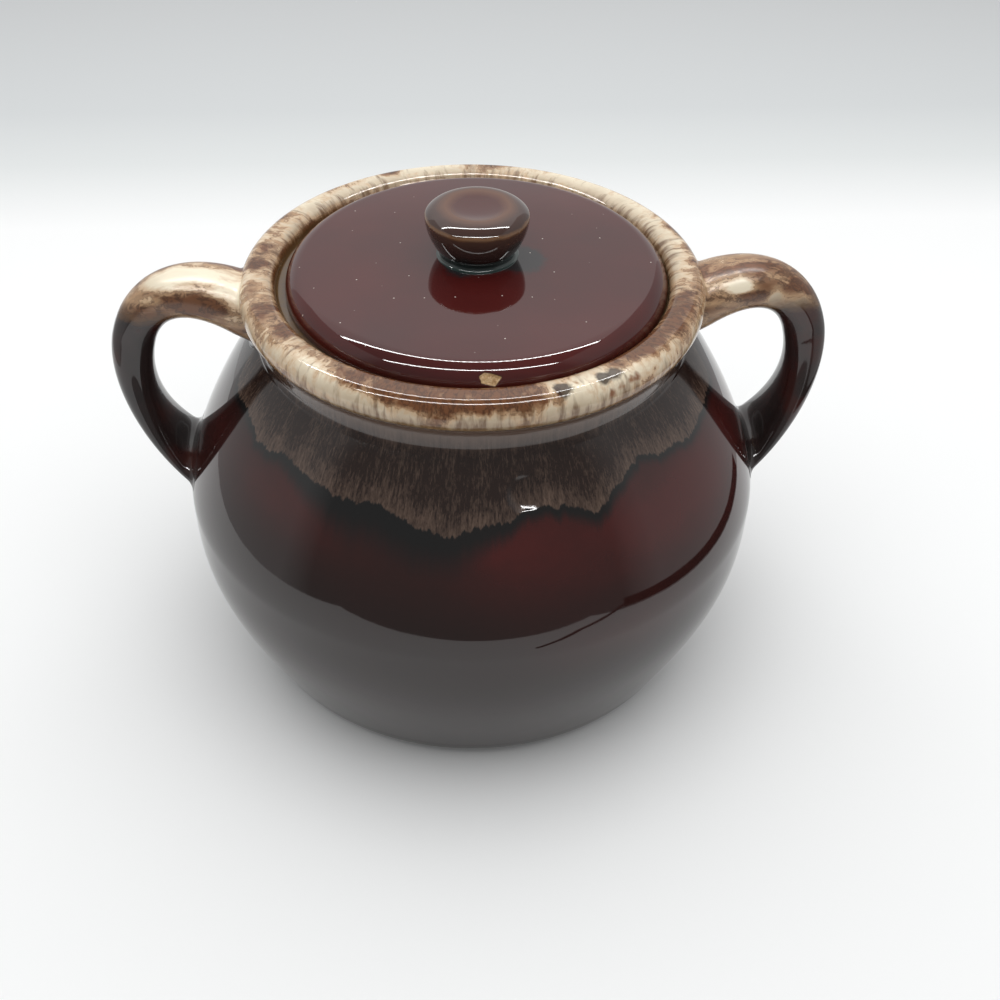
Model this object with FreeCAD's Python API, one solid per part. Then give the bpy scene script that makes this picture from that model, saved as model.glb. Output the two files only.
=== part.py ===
import FreeCAD, Part
import math
import os

# A two-handled stoneware bean pot with a loose lid, one solid for each formed piece of clay.
# Sizes are in millimetres and angles in degrees. The pot stands on z = 0, its axis is Z,
# and its handles lie along X. An outline is a list of (radius, height) points.

# Body: a foot ring, a leaning flank, the belly, and a shoulder that falls to the neck.
BASE_RADIUS = 75.9
BASE_ROUND = 6.0
FOOT_RING_WIDTH = 9.0
FOOT_RECESS = 2.5
FLANK_HEIGHT = 38.0
BELLY_RADIUS = 95.0
BELLY_HEIGHT = 64.4
BELLY_FALL = 19.0
BELLY_RISE = 13.7
NECK_DROP = 19.6
SHOULDER_SLOPE = 50.9
SHOULDER_LENGTH = 11.6
WALL = 6.5
FLOOR_THICKNESS = 8.0
FLOOR_ROUND = 9.0

# Collar: a heavy rolled rim above the neck, with a seat inside it for the lid.
RIM_HEIGHT = 140.0
RIM_WIDTH = 11.4
RIM_OUTER_ROUND = 4.2
RIM_INNER_ROUND = 4.4
COLLAR_DEPTH = 7.0
COLLAR_CHAMFER = 3.0
COLLAR_CHAMFER_WIDTH = 2.0
COLLAR_UNDERCUT = 5.2
COLLAR_EDGE_ROUND = 1.2
CREASE_ROUND = 1.0
SEAT_DEPTH = 5.5
SEAT_WIDTH = 6.1
SEAT_THICKNESS = 7.0
SEAT_EDGE_ROUND = 0.8

# Lid: a thick disc with a domed top, a rounded shoulder, and a flange that drops into the mouth.
LID_RADIUS = 59.0
LID_EDGE_HEIGHT = 7.3
LID_DOME = 3.3
LID_SHOULDER_ROUND = 6.0
LID_THICKNESS = 6.5
FLANGE_DEPTH = 6.5
FLANGE_WIDTH = 5.0
FLANGE_ROUND = 1.2
LID_CLEARANCE = 1.6
LID_SIDE_GAP = 0.4
FLANGE_MARGIN = 0.4

# Knob: a bowl that widens upwards to an edge, a rounded lip above it and a shallow dish on top.
KNOB_RADIUS = 15.9
KNOB_FOOT_RADIUS = 11.4
KNOB_HEIGHT = 15.9
KNOB_LIP_RADIUS = 10.4
KNOB_LIP_DROP = 2.8
KNOB_EDGE_ROUND = 0.6
KNOB_FULLNESS = 1.1
KNOB_DISH = 1.1
KNOB_FLARE = 1.4

# Handle: an oval strap on one arched path, from the collar over and down onto the belly.
ROOT_DROP = 11.8
ROOT_ANGLE = 30.6
ROOT_PULL = 43.1
FOOT_RISE = 3.9
FOOT_ANGLE = 43.1
FOOT_PULL = 42.7
ROOT_WIDTH = 23.4
GRIP_WIDTH = 12.8
FOOT_WIDTH = 33.4
ROOT_THICKNESS = 17.4
GRIP_THICKNESS = 13.4
FOOT_THICKNESS = 5.2
FLARE_POWER = 1.5
ROOT_SINK = 1.2
FOOT_SINK = 3.6
ROOT_DEPTH = 12.0
TOE_DEPTH = 6.0
TOE_WIDTH = 14.0
SECTIONS = 8

# Sizes that follow from the ones above.
SEAT_RADIUS = LID_RADIUS + LID_CLEARANCE
MOUTH_RADIUS = SEAT_RADIUS - SEAT_WIDTH
COLLAR_RADIUS = SEAT_RADIUS + RIM_WIDTH
NECK_RADIUS = COLLAR_RADIUS - COLLAR_UNDERCUT
NECK_HEIGHT = RIM_HEIGHT - NECK_DROP
FOOT_HEIGHT = BELLY_HEIGHT + FOOT_RISE
SEAT_HEIGHT = RIM_HEIGHT - SEAT_DEPTH
LID_TOP = SEAT_HEIGHT + LID_EDGE_HEIGHT
LID_CREST = LID_TOP + LID_DOME
FLANGE_RADIUS = MOUTH_RADIUS - LID_CLEARANCE - FLANGE_MARGIN
LID_SHIFT = LID_CLEARANCE - LID_SIDE_GAP
FOOT_OUTER_RADIUS = BASE_RADIUS - BASE_ROUND
FOOT_INNER_RADIUS = FOOT_OUTER_RADIUS - FOOT_RING_WIDTH

AXIS_POINT = FreeCAD.Vector(0, 0, 0)
UP = FreeCAD.Vector(0, 0, 1)
ACROSS = FreeCAD.Vector(0, 1, 0)
RING_TOLERANCE = 1e-4


def lines(*points):
    """Straight edges through (radius, height) points."""
    corners = [FreeCAD.Vector(radius, 0, height) for radius, height in points]
    return [Part.makeLine(start, end) for start, end in zip(corners, corners[1:])]


def curve(*poles):
    """One Bezier edge with (radius, height) poles."""
    bezier = Part.BezierCurve()
    bezier.setPoles([FreeCAD.Vector(radius, 0, height) for radius, height in poles])
    return [bezier.toShape()]


def arc(start, middle, end):
    """One circular edge through three (radius, height) points."""
    points = [FreeCAD.Vector(radius, 0, height) for radius, height in (start, middle, end)]
    return [Part.Arc(*points).toShape()]


def revolve(edges):
    """Solid of revolution about Z, with its seam on +Y, between the handles.

    The outline starts and ends on the axis.
    """
    start = edges[0].valueAt(edges[0].FirstParameter)
    end = edges[-1].valueAt(edges[-1].LastParameter)
    outline = Part.Wire(edges + [Part.makeLine(end, start)])
    outline.rotate(AXIS_POINT, UP, 90)
    return Part.Face(outline).revolve(AXIS_POINT, UP, 360)


def is_ring(edge, radius, height):
    """True if the edge is the circle about Z at that radius and height."""
    if edge.Degenerated or not isinstance(edge.Curve, Part.Circle):
        return False
    same_radius = abs(edge.Curve.Radius - radius) < RING_TOLERANCE
    return same_radius and abs(edge.Curve.Center.z - height) < RING_TOLERANCE


def round_rings(solid, round_radius, *rings):
    """Rounds the circular edges at the given (radius, height) pairs."""
    edges = [edge for edge in solid.Edges for ring in rings if is_ring(edge, *ring)]
    if len(edges) != len(rings):
        raise ValueError(f"found {len(edges)} of the {len(rings)} edges to round")
    return solid.makeFillet(round_radius, edges)


def flank_poles(inset):
    """Base to belly: the wall leans out and comes upright at the belly."""
    return [
        (BASE_RADIUS - inset, 0),
        (BELLY_RADIUS - inset, FLANK_HEIGHT),
        (BELLY_RADIUS - inset, BELLY_HEIGHT - BELLY_FALL),
        (BELLY_RADIUS - inset, BELLY_HEIGHT),
    ]


def shoulder_poles(inset):
    """Belly to neck: the wall turns in and falls towards the neck at SHOULDER_SLOPE."""
    slope = math.radians(SHOULDER_SLOPE)
    neck_radius = NECK_RADIUS - inset * math.cos(slope)
    neck_height = NECK_HEIGHT - inset * math.sin(slope)
    return [
        (BELLY_RADIUS - inset, BELLY_HEIGHT),
        (BELLY_RADIUS - inset, BELLY_HEIGHT + BELLY_RISE),
        (
            neck_radius + SHOULDER_LENGTH * math.sin(slope),
            neck_height - SHOULDER_LENGTH * math.cos(slope),
        ),
        (neck_radius, neck_height),
    ]


def pot_envelope():
    """The pot's outside as a filled solid, with the mouth closed at the rim."""
    collar_foot = RIM_HEIGHT - COLLAR_DEPTH
    edges = lines((0, 0), (BASE_RADIUS, 0))
    edges += curve(*flank_poles(0))
    edges += curve(*shoulder_poles(0))
    edges += lines(
        (NECK_RADIUS, NECK_HEIGHT),
        (COLLAR_RADIUS - COLLAR_CHAMFER_WIDTH, collar_foot - COLLAR_CHAMFER),
        (COLLAR_RADIUS, collar_foot),
        (COLLAR_RADIUS, RIM_HEIGHT),
        (0, RIM_HEIGHT),
    )
    solid = revolve(edges)
    solid = round_rings(solid, BASE_ROUND, (BASE_RADIUS, 0))
    solid = round_rings(solid, CREASE_ROUND, (NECK_RADIUS, NECK_HEIGHT))
    solid = round_rings(solid, COLLAR_EDGE_ROUND, (COLLAR_RADIUS, collar_foot))
    return round_rings(solid, RIM_OUTER_ROUND, (COLLAR_RADIUS, RIM_HEIGHT))


def pot_cavity():
    """The space inside the pot, from the floor through the mouth and the lid's seat."""
    inner_neck = shoulder_poles(WALL)[-1]
    edges = lines((0, 0), flank_poles(WALL)[0])
    edges += curve(*flank_poles(WALL))
    edges += curve(*shoulder_poles(WALL))
    edges += lines(
        inner_neck,
        (MOUTH_RADIUS, SEAT_HEIGHT - SEAT_THICKNESS),
        (MOUTH_RADIUS, SEAT_HEIGHT),
        (SEAT_RADIUS, SEAT_HEIGHT),
        (SEAT_RADIUS, RIM_HEIGHT),
        (0, RIM_HEIGHT),
    )
    floor = Part.makeCylinder(BELLY_RADIUS, FLOOR_THICKNESS)
    cavity = revolve(edges).cut(floor)
    corner = min(cavity.Edges, key=lambda edge: edge.BoundBox.ZMax)
    return cavity.makeFillet(FLOOR_ROUND, [corner])


def pot_body():
    """The thrown body: wall, floor, foot ring, neck, and collar with the lid's seat."""
    recess = Part.makeCylinder(FOOT_INNER_RADIUS, FOOT_RECESS)
    body = pot_envelope().cut(pot_cavity()).cut(recess)
    body = round_rings(body, RIM_INNER_ROUND, (SEAT_RADIUS, RIM_HEIGHT))
    return round_rings(
        body, SEAT_EDGE_ROUND, (MOUTH_RADIUS, SEAT_HEIGHT), (FOOT_INNER_RADIUS, 0)
    )


def dome(radius):
    """How far the lid's domed top is below its crest at a radius."""
    return LID_DOME * (radius / LID_RADIUS) ** 2


def domed(crest, radius):
    """The dome's curve from its crest on the axis out to a radius."""
    return curve((0, crest), (radius / 2, crest), (radius, crest - dome(radius)))


def lid_disc():
    """The lid without its knob, resting on the seat and drawn to one side of it."""
    flange_foot = SEAT_HEIGHT - FLANGE_DEPTH
    flange_inside = FLANGE_RADIUS - FLANGE_WIDTH
    underside = LID_CREST - LID_THICKNESS
    edges = domed(underside, flange_inside)
    edges += lines(
        (flange_inside, underside - dome(flange_inside)),
        (flange_inside, flange_foot),
        (FLANGE_RADIUS, flange_foot),
        (FLANGE_RADIUS, SEAT_HEIGHT),
        (LID_RADIUS, SEAT_HEIGHT),
        (LID_RADIUS, LID_TOP),
    )
    edges += curve((LID_RADIUS, LID_TOP), (LID_RADIUS / 2, LID_CREST), (0, LID_CREST))
    disc = round_rings(revolve(edges), LID_SHOULDER_ROUND, (LID_RADIUS, LID_TOP))
    disc = round_rings(
        disc, FLANGE_ROUND, (flange_inside, flange_foot), (FLANGE_RADIUS, flange_foot)
    )
    disc = round_rings(disc, SEAT_EDGE_ROUND, (LID_RADIUS, SEAT_HEIGHT))
    disc.translate(FreeCAD.Vector(LID_SHIFT, 0, 0))
    return disc


def lid_knob():
    """The knob, standing on the middle of the lid's dome."""
    foot_radius = KNOB_FOOT_RADIUS + KNOB_FLARE
    foot = LID_CREST - dome(foot_radius)
    top = LID_CREST + KNOB_HEIGHT
    edge = (KNOB_RADIUS, top - KNOB_LIP_DROP)
    lip = (KNOB_LIP_RADIUS, top)
    lip_width = KNOB_RADIUS - KNOB_LIP_RADIUS
    lip_round = (lip_width ** 2 + KNOB_LIP_DROP ** 2) / (2 * KNOB_LIP_DROP)
    half_turn = math.asin(lip_width / lip_round) / 2
    middle = (
        KNOB_LIP_RADIUS + lip_round * math.sin(half_turn),
        top - lip_round * (1 - math.cos(half_turn)),
    )
    side_foot = (KNOB_FOOT_RADIUS, foot + KNOB_FLARE)
    fullest = (
        (side_foot[0] + edge[0]) / 2 + 2 * KNOB_FULLNESS,
        (side_foot[1] + edge[1]) / 2,
    )
    dish = top - KNOB_DISH
    edges = domed(LID_CREST, foot_radius)
    edges += curve((foot_radius, foot), (KNOB_FOOT_RADIUS, foot), side_foot)
    edges += curve(side_foot, fullest, edge)
    edges += arc(edge, middle, lip)
    edges += curve(lip, (KNOB_LIP_RADIUS / 2, dish), (0, dish))
    knob = round_rings(revolve(edges), KNOB_EDGE_ROUND, edge)
    knob.translate(FreeCAD.Vector(LID_SHIFT, 0, 0))
    return knob


def belly_radius_at(height):
    """Outer radius of the pot at a height between the base and the neck."""
    level = Part.makeLine(
        FreeCAD.Vector(0, 0, height), FreeCAD.Vector(2 * BELLY_RADIUS, 0, height)
    )
    outline = Part.Wire(curve(*flank_poles(0)) + curve(*shoulder_poles(0)))
    return outline.section(level).Vertexes[0].X


def handle_path():
    """The handle's centre line in the XZ plane, from the collar to the belly."""
    root = FreeCAD.Vector(COLLAR_RADIUS - ROOT_SINK, 0, RIM_HEIGHT - ROOT_DROP)
    foot = FreeCAD.Vector(belly_radius_at(FOOT_HEIGHT) - FOOT_SINK, 0, FOOT_HEIGHT)
    root_turn = math.radians(ROOT_ANGLE)
    foot_turn = math.radians(FOOT_ANGLE)
    root_way = FreeCAD.Vector(math.cos(root_turn), 0, math.sin(root_turn))
    foot_way = FreeCAD.Vector(math.cos(foot_turn), 0, math.sin(foot_turn))
    path = Part.BezierCurve()
    path.setPoles([root, root + root_way * ROOT_PULL, foot + foot_way * FOOT_PULL, foot])
    return path


def flared(share, root, grip, foot):
    """A size along the handle: root at the collar, grip in the middle, foot at the belly."""
    end = root if share < 0.5 else foot
    flare = abs(2 * share - 1) ** FLARE_POWER
    return grip + (end - grip) * flare


def oval(centre, along, width, thickness):
    """Cross-section of the handle at a point, square to its path."""
    wide = ACROSS * (width / 2)
    thick = along.cross(ACROSS).normalize() * (thickness / 2)
    placing = FreeCAD.Matrix(
        wide.x, thick.x, along.x, centre.x,
        wide.y, thick.y, along.y, centre.y,
        wide.z, thick.z, along.z, centre.z,
        0, 0, 0, 1,
    )
    return Part.Wire(Part.makeCircle(1).transformGeometry(placing).Edges)


def handle():
    """The handle on the +X side, cut to meet the collar, shoulder and belly face to face."""
    path = handle_path()
    root_way = path.tangent(0)[0]
    foot_way = path.tangent(1)[0]
    inner_root = path.value(0) - root_way * ROOT_DEPTH
    inner_foot = path.value(1) + foot_way * TOE_DEPTH
    sections = [oval(inner_root, root_way, ROOT_WIDTH, ROOT_THICKNESS)]
    for step in range(SECTIONS + 1):
        share = step / SECTIONS
        width = flared(share, ROOT_WIDTH, GRIP_WIDTH, FOOT_WIDTH)
        thickness = flared(share, ROOT_THICKNESS, GRIP_THICKNESS, FOOT_THICKNESS)
        sections.append(oval(path.value(share), path.tangent(share)[0], width, thickness))
    sections.append(oval(inner_foot, foot_way, TOE_WIDTH, FOOT_THICKNESS))
    return Part.makeLoft(sections, True).cut(pot_envelope())


def turned(solid):
    """A copy of a solid on the other side of the pot's axis."""
    copy = solid.copy()
    copy.rotate(AXIS_POINT, UP, 180)
    return copy


def save(shape, node):
    """Writes one piece, which has to be one closed solid."""
    if len(shape.Solids) != 1 or not shape.isValid():
        raise ValueError(f"{node} isn't one valid solid")
    solid = shape.Solids[0]
    solid.exportStep(f"parts/{node}.step")
    box = solid.optimalBoundingBox()
    print(f"{node}: {solid.Volume / 1000:.1f} cm3, x {box.XMin:.1f} to {box.XMax:.1f}, "
          f"y {box.YMin:.1f} to {box.YMax:.1f}, z {box.ZMin:.1f} to {box.ZMax:.1f}")


def main():
    os.makedirs("parts", exist_ok=True)
    right_handle = handle()
    save(pot_body(), "pot_body")
    save(right_handle, "handle_right")
    save(turned(right_handle), "handle_left")
    save(lid_disc(), "lid_disc")
    save(lid_knob(), "lid_knob")


main()
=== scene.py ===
"""Blender add-on that turns, glazes and lights a two-handled stoneware bean pot.

Every piece is made in metres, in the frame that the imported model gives: the pot stands on z = 0,
its axis is Z and its handles lie along X. Outlines are written in millimetres, as (radius, height),
and angles round the pot in degrees from +X.
"""
from functools import partial
import math

import bpy
import numpy as np
from mathutils import Matrix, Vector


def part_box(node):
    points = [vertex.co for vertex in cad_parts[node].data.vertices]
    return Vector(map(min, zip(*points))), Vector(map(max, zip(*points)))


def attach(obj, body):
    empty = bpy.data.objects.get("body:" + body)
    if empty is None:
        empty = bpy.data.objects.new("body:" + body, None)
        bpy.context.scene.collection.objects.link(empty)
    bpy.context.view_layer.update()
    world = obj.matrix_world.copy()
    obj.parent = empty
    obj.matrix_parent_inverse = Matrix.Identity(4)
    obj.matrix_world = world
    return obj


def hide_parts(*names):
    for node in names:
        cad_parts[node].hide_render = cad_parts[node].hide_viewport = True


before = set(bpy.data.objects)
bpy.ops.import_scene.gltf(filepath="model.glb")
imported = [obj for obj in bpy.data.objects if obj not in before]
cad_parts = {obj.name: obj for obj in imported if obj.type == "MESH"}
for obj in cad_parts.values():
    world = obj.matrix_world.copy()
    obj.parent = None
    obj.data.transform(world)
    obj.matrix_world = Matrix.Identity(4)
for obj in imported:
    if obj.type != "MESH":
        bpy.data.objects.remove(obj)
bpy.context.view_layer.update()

bl_info = {
    "name": "Stoneware Bean Pot",
    "version": (1, 0, 0),
    "blender": (4, 5, 0),
    "location": "3D Viewport > Sidebar > Bean Pot",
    "description": "Turns, glazes and lights a two-handled bean pot with a loose lid",
    "category": "Object",
}

MM = 0.001
POT_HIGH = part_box("pot_body")[1]
LID_LOW, LID_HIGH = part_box("lid_disc")
KNOB_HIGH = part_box("lid_knob")[1]


# ---------------------------------------------------------------------------------------------
# Sizes and colours that a user would change
# ---------------------------------------------------------------------------------------------

def length(name, description, default):
    """A size in metres, shown in the scene's unit."""
    return bpy.props.FloatProperty(
        name=name, description=description, default=default, subtype="DISTANCE", unit="LENGTH"
    )


def linear(code):
    """Linear red, green and blue of an sRGB hex colour."""
    shares = [int(code[place:place + 2], 16) / 255 for place in (1, 3, 5)]
    return tuple(s / 12.92 if s <= 0.04045 else ((s + 0.055) / 1.055) ** 2.4 for s in shares)


def colour(name, description, code):
    """A colour given as sRGB hex."""
    return bpy.props.FloatVectorProperty(
        name=name, description=description, default=linear(code), subtype="COLOR", size=3,
        min=0.0, max=1.0,
    )


def level(name, description, default):
    """A brightness, where 1 is white."""
    return bpy.props.FloatProperty(name=name, description=description, default=default, min=0.0)


class PotSizes(bpy.types.PropertyGroup):
    belly: length("Belly radius", "Outer radius at the widest part of the body", POT_HIGH.y)
    rim: length("Rim height", "Height of the rolled rim above the table", POT_HIGH.z)
    wobble: length("Throwing wobble", "How far the turned wall strays from a true circle", 0.35 * MM)
    dent: length("Dent depth", "Depth of the larger dent in the shoulder", 2.2 * MM)
    turns: bpy.props.IntProperty(
        name="Facets", description="Number of facets round the body", default=320, min=48
    )


class LidSizes(bpy.types.PropertyGroup):
    radius: length("Lid radius", "Outer radius of the lid", LID_HIGH.y)
    shift: length("Lid shift", "How far the lid sits off the pot's axis", (LID_LOW.x + LID_HIGH.x) / 2)
    crest: length("Lid height", "Height of the middle of the lid above the table", LID_HIGH.z)
    dome: length("Lid dome", "How far the middle of the lid rises above its edge", 3.3 * MM)
    chip: length("Chip depth", "Depth of the chip in the lid's shoulder", 0.5 * MM)
    knob_radius: length("Knob radius", "Radius of the knob's edge", KNOB_HIGH.y)
    knob_top: length("Knob height", "Height of the knob's lip above the table", KNOB_HIGH.z)


class HandleSizes(bpy.types.PropertyGroup):
    grip_width: length("Grip width", "Width of the handle at the middle", 12.8 * MM)
    grip_thickness: length("Grip thickness", "Thickness of the handle at the middle", 13.4 * MM)
    root_fillet: length("Upper fillet", "How far the upper joint is smoothed over the collar", 2.4 * MM)
    foot_fillet: length("Lower fillet", "How far the lower joint is smoothed over the belly", 7.5 * MM)


class GlazeColours(bpy.types.PropertyGroup):
    deep: colour("Deep brown", "Thick brown glaze", "#1b1513")
    red: colour("Iron red", "Brown glaze where it turns red", "#451917")
    lid: colour("Lid red", "Brown glaze on the lid", "#4b1917")
    halo: colour("Blue black", "Glaze below the fringe", "#151717")
    fringe: colour("Fringe ground", "Dark ground of the fringe", "#271b17")
    taupe: colour("Fringe hair", "Light hairs of the fringe", "#625045")
    cream: colour("Cream", "White glaze where it is thick", "#efe3ca")
    putty: colour("Putty", "White glaze where it is thin", "#b09b80")
    tan: colour("Tan", "White glaze stained by the brown", "#c29f7a")
    brown: colour("Rim brown", "Brown patches on the rim", "#6e4529")
    vein: colour("Vein brown", "Veins and outlines of the brown patches", "#472b19")
    clay: colour("Bare clay", "Unglazed stoneware", "#b98f60")


class StageSettings(bpy.types.PropertyGroup):
    wall_glow: level("Wall glow", "Brightness of the tent's side walls", 0.50)
    strip_glow: level("Strip glow", "Brightness of the two lamp strips", 55.0)
    overhead_glow: level("Overhead glow", "Brightness of the soft light above", 1.12)
    fill: level("Fill", "Soft light from all around", 0.49)


# ---------------------------------------------------------------------------------------------
# Node trees
# ---------------------------------------------------------------------------------------------

def add(tree, kind, feeds=None, output=0, stops=(), **settings):
    """Adds a node with its settings, feeds its inputs with values or sockets, gives an output.

    stops are the (place, sRGB hex) pairs of a colour ramp. A colour may be given as hex too.
    """
    made = tree.nodes.new(kind)
    for name, value in settings.items():
        setattr(made, name, value)
    while stops and len(made.color_ramp.elements) < len(stops):
        made.color_ramp.elements.new(0.5)
    for number, (place, code) in enumerate(stops):
        made.color_ramp.elements[number].position = place
        made.color_ramp.elements[number].color = (*linear(code), 1.0)
    for place, value in (feeds or {}).items():
        socket = made.inputs[place]
        if isinstance(value, bpy.types.NodeSocket):
            tree.links.new(value, socket)
        elif socket.type == "RGBA":
            socket.default_value = (*(linear(value) if isinstance(value, str) else value), 1.0)
        else:
            socket.default_value = value
    return made.outputs[output] if made.outputs else made


# ---------------------------------------------------------------------------------------------
# The wheel: a tree that turns an outline about a vertical axis
# ---------------------------------------------------------------------------------------------

WHEEL_INPUTS = (
    ("Facets", "NodeSocketInt"),
    ("Axis X", "NodeSocketFloat"),
    ("Wobble", "NodeSocketFloat"),
    ("Wobble size", "NodeSocketFloat"),
    ("Seed", "NodeSocketFloat"),
    ("Glaze", "NodeSocketMaterial"),
    ("Clay", "NodeSocketMaterial"),
)


def wheel_tree():
    """Turns an outline in the XZ plane. Its points carry run, relief and bare."""
    tree = bpy.data.node_groups.new("potters_wheel", "GeometryNodeTree")
    node = partial(add, tree)
    tree.interface.new_socket("Outline", in_out="INPUT", socket_type="NodeSocketGeometry")
    for name, kind in WHEEL_INPUTS:
        tree.interface.new_socket(name, in_out="INPUT", socket_type=kind)
    tree.interface.new_socket("Turned", in_out="OUTPUT", socket_type="NodeSocketGeometry")
    given = tree.nodes.new("NodeGroupInput").outputs
    points = node("GeometryNodeAttributeDomainSize", {0: given["Outline"]}, "Point Count")
    columns = node("ShaderNodeMath", {0: given["Facets"], 1: 1.0}, operation="ADD")
    sheet = node("GeometryNodeMeshGrid", {"Vertices X": columns, "Vertices Y": points})
    index = node("GeometryNodeInputIndex")
    row = node("ShaderNodeMath", {0: index, 1: points}, operation="MODULO")
    along = node("ShaderNodeMath", {0: index, 1: points}, operation="DIVIDE")
    column = node("ShaderNodeMath", {0: along}, operation="FLOOR")
    share = node("ShaderNodeMath", {0: column, 1: given["Facets"]}, operation="DIVIDE")
    angle = node("ShaderNodeMath", {0: share, 1: 2 * math.pi}, operation="MULTIPLY")
    place = node(
        "GeometryNodeSampleIndex",
        {"Geometry": given["Outline"], "Value": node("GeometryNodeInputPosition"), "Index": row},
        data_type="FLOAT_VECTOR",
    )
    turned = node("ShaderNodeVectorRotate", {"Vector": place, "Angle": angle}, rotation_type="Z_AXIS")
    shape = node("GeometryNodeSetPosition", {"Geometry": sheet, "Position": turned})
    for name in ("run", "relief", "bare"):
        value = node("GeometryNodeInputNamedAttribute", {"Name": name}, "Attribute", data_type="FLOAT")
        sampled = node(
            "GeometryNodeSampleIndex",
            {"Geometry": given["Outline"], "Value": value, "Index": row}, data_type="FLOAT",
        )
        shape = node(
            "GeometryNodeStoreNamedAttribute",
            {"Geometry": shape, "Name": name, "Value": sampled}, data_type="FLOAT",
        )
    shape = node("GeometryNodeMergeByDistance", {"Geometry": shape, "Distance": 2e-6})
    relief = node("GeometryNodeInputNamedAttribute", {"Name": "relief"}, "Attribute", data_type="FLOAT")
    scale = node("ShaderNodeMath", {0: 1.0, 1: given["Wobble size"]}, operation="DIVIDE")
    noise = node(
        "ShaderNodeTexNoise",
        {"Vector": node("GeometryNodeInputPosition"), "W": given["Seed"], "Scale": scale, "Detail": 1.0},
        noise_dimensions="4D",
    )
    inward = node("ShaderNodeMath", {0: noise, 1: given["Wobble"]}, operation="MULTIPLY")
    inward = node("ShaderNodeMath", {0: inward, 1: relief}, operation="MULTIPLY")
    inward = node("ShaderNodeMath", {0: inward, 1: -1.0}, operation="MULTIPLY")
    push = node(
        "ShaderNodeVectorMath", {0: node("GeometryNodeInputNormal"), "Scale": inward}, operation="SCALE"
    )
    axis = node("ShaderNodeCombineXYZ", {"X": given["Axis X"]})
    offset = node("ShaderNodeVectorMath", {0: push, 1: axis}, operation="ADD")
    shape = node("GeometryNodeSetPosition", {"Geometry": shape, "Offset": offset})
    shape = node("GeometryNodeSetShadeSmooth", {"Geometry": shape})
    shape = node("GeometryNodeRealizeInstances", {"Geometry": shape})
    shape = node("GeometryNodeSetMaterial", {"Geometry": shape, "Material": given["Glaze"]})
    bare = node("GeometryNodeInputNamedAttribute", {"Name": "bare"}, "Attribute", data_type="FLOAT")
    unglazed = node("FunctionNodeCompare", {0: bare, 1: 0.5}, operation="GREATER_THAN")
    shape = node(
        "GeometryNodeSetMaterial",
        {"Geometry": shape, "Selection": unglazed, "Material": given["Clay"]},
    )
    node("NodeGroupOutput", {"Turned": shape})
    return tree


def bezier(poles, steps, start=0.0, end=1.0):
    """Points of a Bezier curve of any degree, without the first one."""
    shares = np.linspace(start, end, steps + 1)[1:, None]
    points = [np.tile(np.array(pole, float), (steps, 1)) for pole in poles]
    while len(points) > 1:
        points = [a * (1 - shares) + b * shares for a, b in zip(points, points[1:])]
    return points[0]


def corner(before, edge, after):
    """Poles of a cubic that rounds an edge nearly as an arc does."""
    before, edge, after = (np.array(point, float) for point in (before, edge, after))
    reach = 0.5523
    return [before, before + (edge - before) * reach, after + (edge - after) * reach, after]


def outline_points(first, strokes):
    """The outline's points in mm. A stroke is (poles, steps, relief, bare) and extras."""
    points = [np.array([first], float)]
    for poles, steps, _, _, *part in strokes:
        points.append(bezier(poles, steps, *part))
    return np.vstack(points)


def outline_mesh(name, first, strokes):
    """The outline as points and edges, with its run, relief and bare."""
    points = outline_points(first, strokes) * MM
    steps = [1] + [stroke[1] for stroke in strokes]
    mesh = bpy.data.meshes.new(name)
    corners = [(radius, 0.0, height) for radius, height in points]
    mesh.from_pydata(corners, [(i, i + 1) for i in range(len(corners) - 1)], [])
    store(mesh, "run", np.r_[0.0, np.cumsum(np.hypot(*np.diff(points, axis=0).T))])
    store(mesh, "relief", np.repeat([0] + [stroke[2] for stroke in strokes], steps))
    store(mesh, "bare", np.repeat([0] + [stroke[3] for stroke in strokes], steps))
    return mesh


def store(mesh, name, values):
    """Keeps one number for each vertex."""
    layer = mesh.attributes.new(name, "FLOAT", "POINT")
    layer.data.foreach_set("value", np.asarray(values, np.float32))


def corners_of(mesh):
    """Vertex places in mm as an array."""
    flat = np.zeros(len(mesh.vertices) * 3, np.float32)
    mesh.vertices.foreach_get("co", flat)
    return flat.reshape(-1, 3).astype(float) / MM


def values_of(mesh, name):
    """A stored number of each vertex."""
    flat = np.zeros(len(mesh.vertices), np.float32)
    mesh.attributes[name].data.foreach_get("value", flat)
    return flat.astype(float)


def press(mesh, depths):
    """Moves each vertex inwards by its depth in mm."""
    normals = np.zeros(len(mesh.vertices) * 3, np.float32)
    mesh.vertex_normals.foreach_get("vector", normals)
    places = corners_of(mesh) - normals.reshape(-1, 3) * depths[:, None]
    mesh.vertices.foreach_set("co", (places * MM).astype(np.float32).ravel())
    mesh.update()


def turn(name, first, strokes, inputs):
    """Turns an outline on the wheel and gives the finished object."""
    drawn = outline_mesh(name + "_outline", first, strokes)
    piece = bpy.data.objects.new(name, drawn)
    bpy.context.scene.collection.objects.link(piece)
    tree = bpy.data.node_groups.get("potters_wheel") or wheel_tree()
    wheel = piece.modifiers.new("wheel", "NODES")
    wheel.node_group = tree
    sockets = {s.name: s.identifier for s in tree.interface.items_tree if s.in_out == "INPUT"}
    for label, value in inputs.items():
        wheel[sockets[label]] = value
    graph = bpy.context.evaluated_depsgraph_get()
    mesh = bpy.data.meshes.new_from_object(piece.evaluated_get(graph))
    piece.modifiers.remove(wheel)
    piece.data = mesh
    mesh.name = name
    bpy.data.meshes.remove(drawn)
    return piece


def finish_piece(piece, node, body):
    """The piece stands for its node, whose part it hides, and moves with its body."""
    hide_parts(node)
    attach(piece, body)


# ---------------------------------------------------------------------------------------------
# Pot body
# ---------------------------------------------------------------------------------------------

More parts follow.
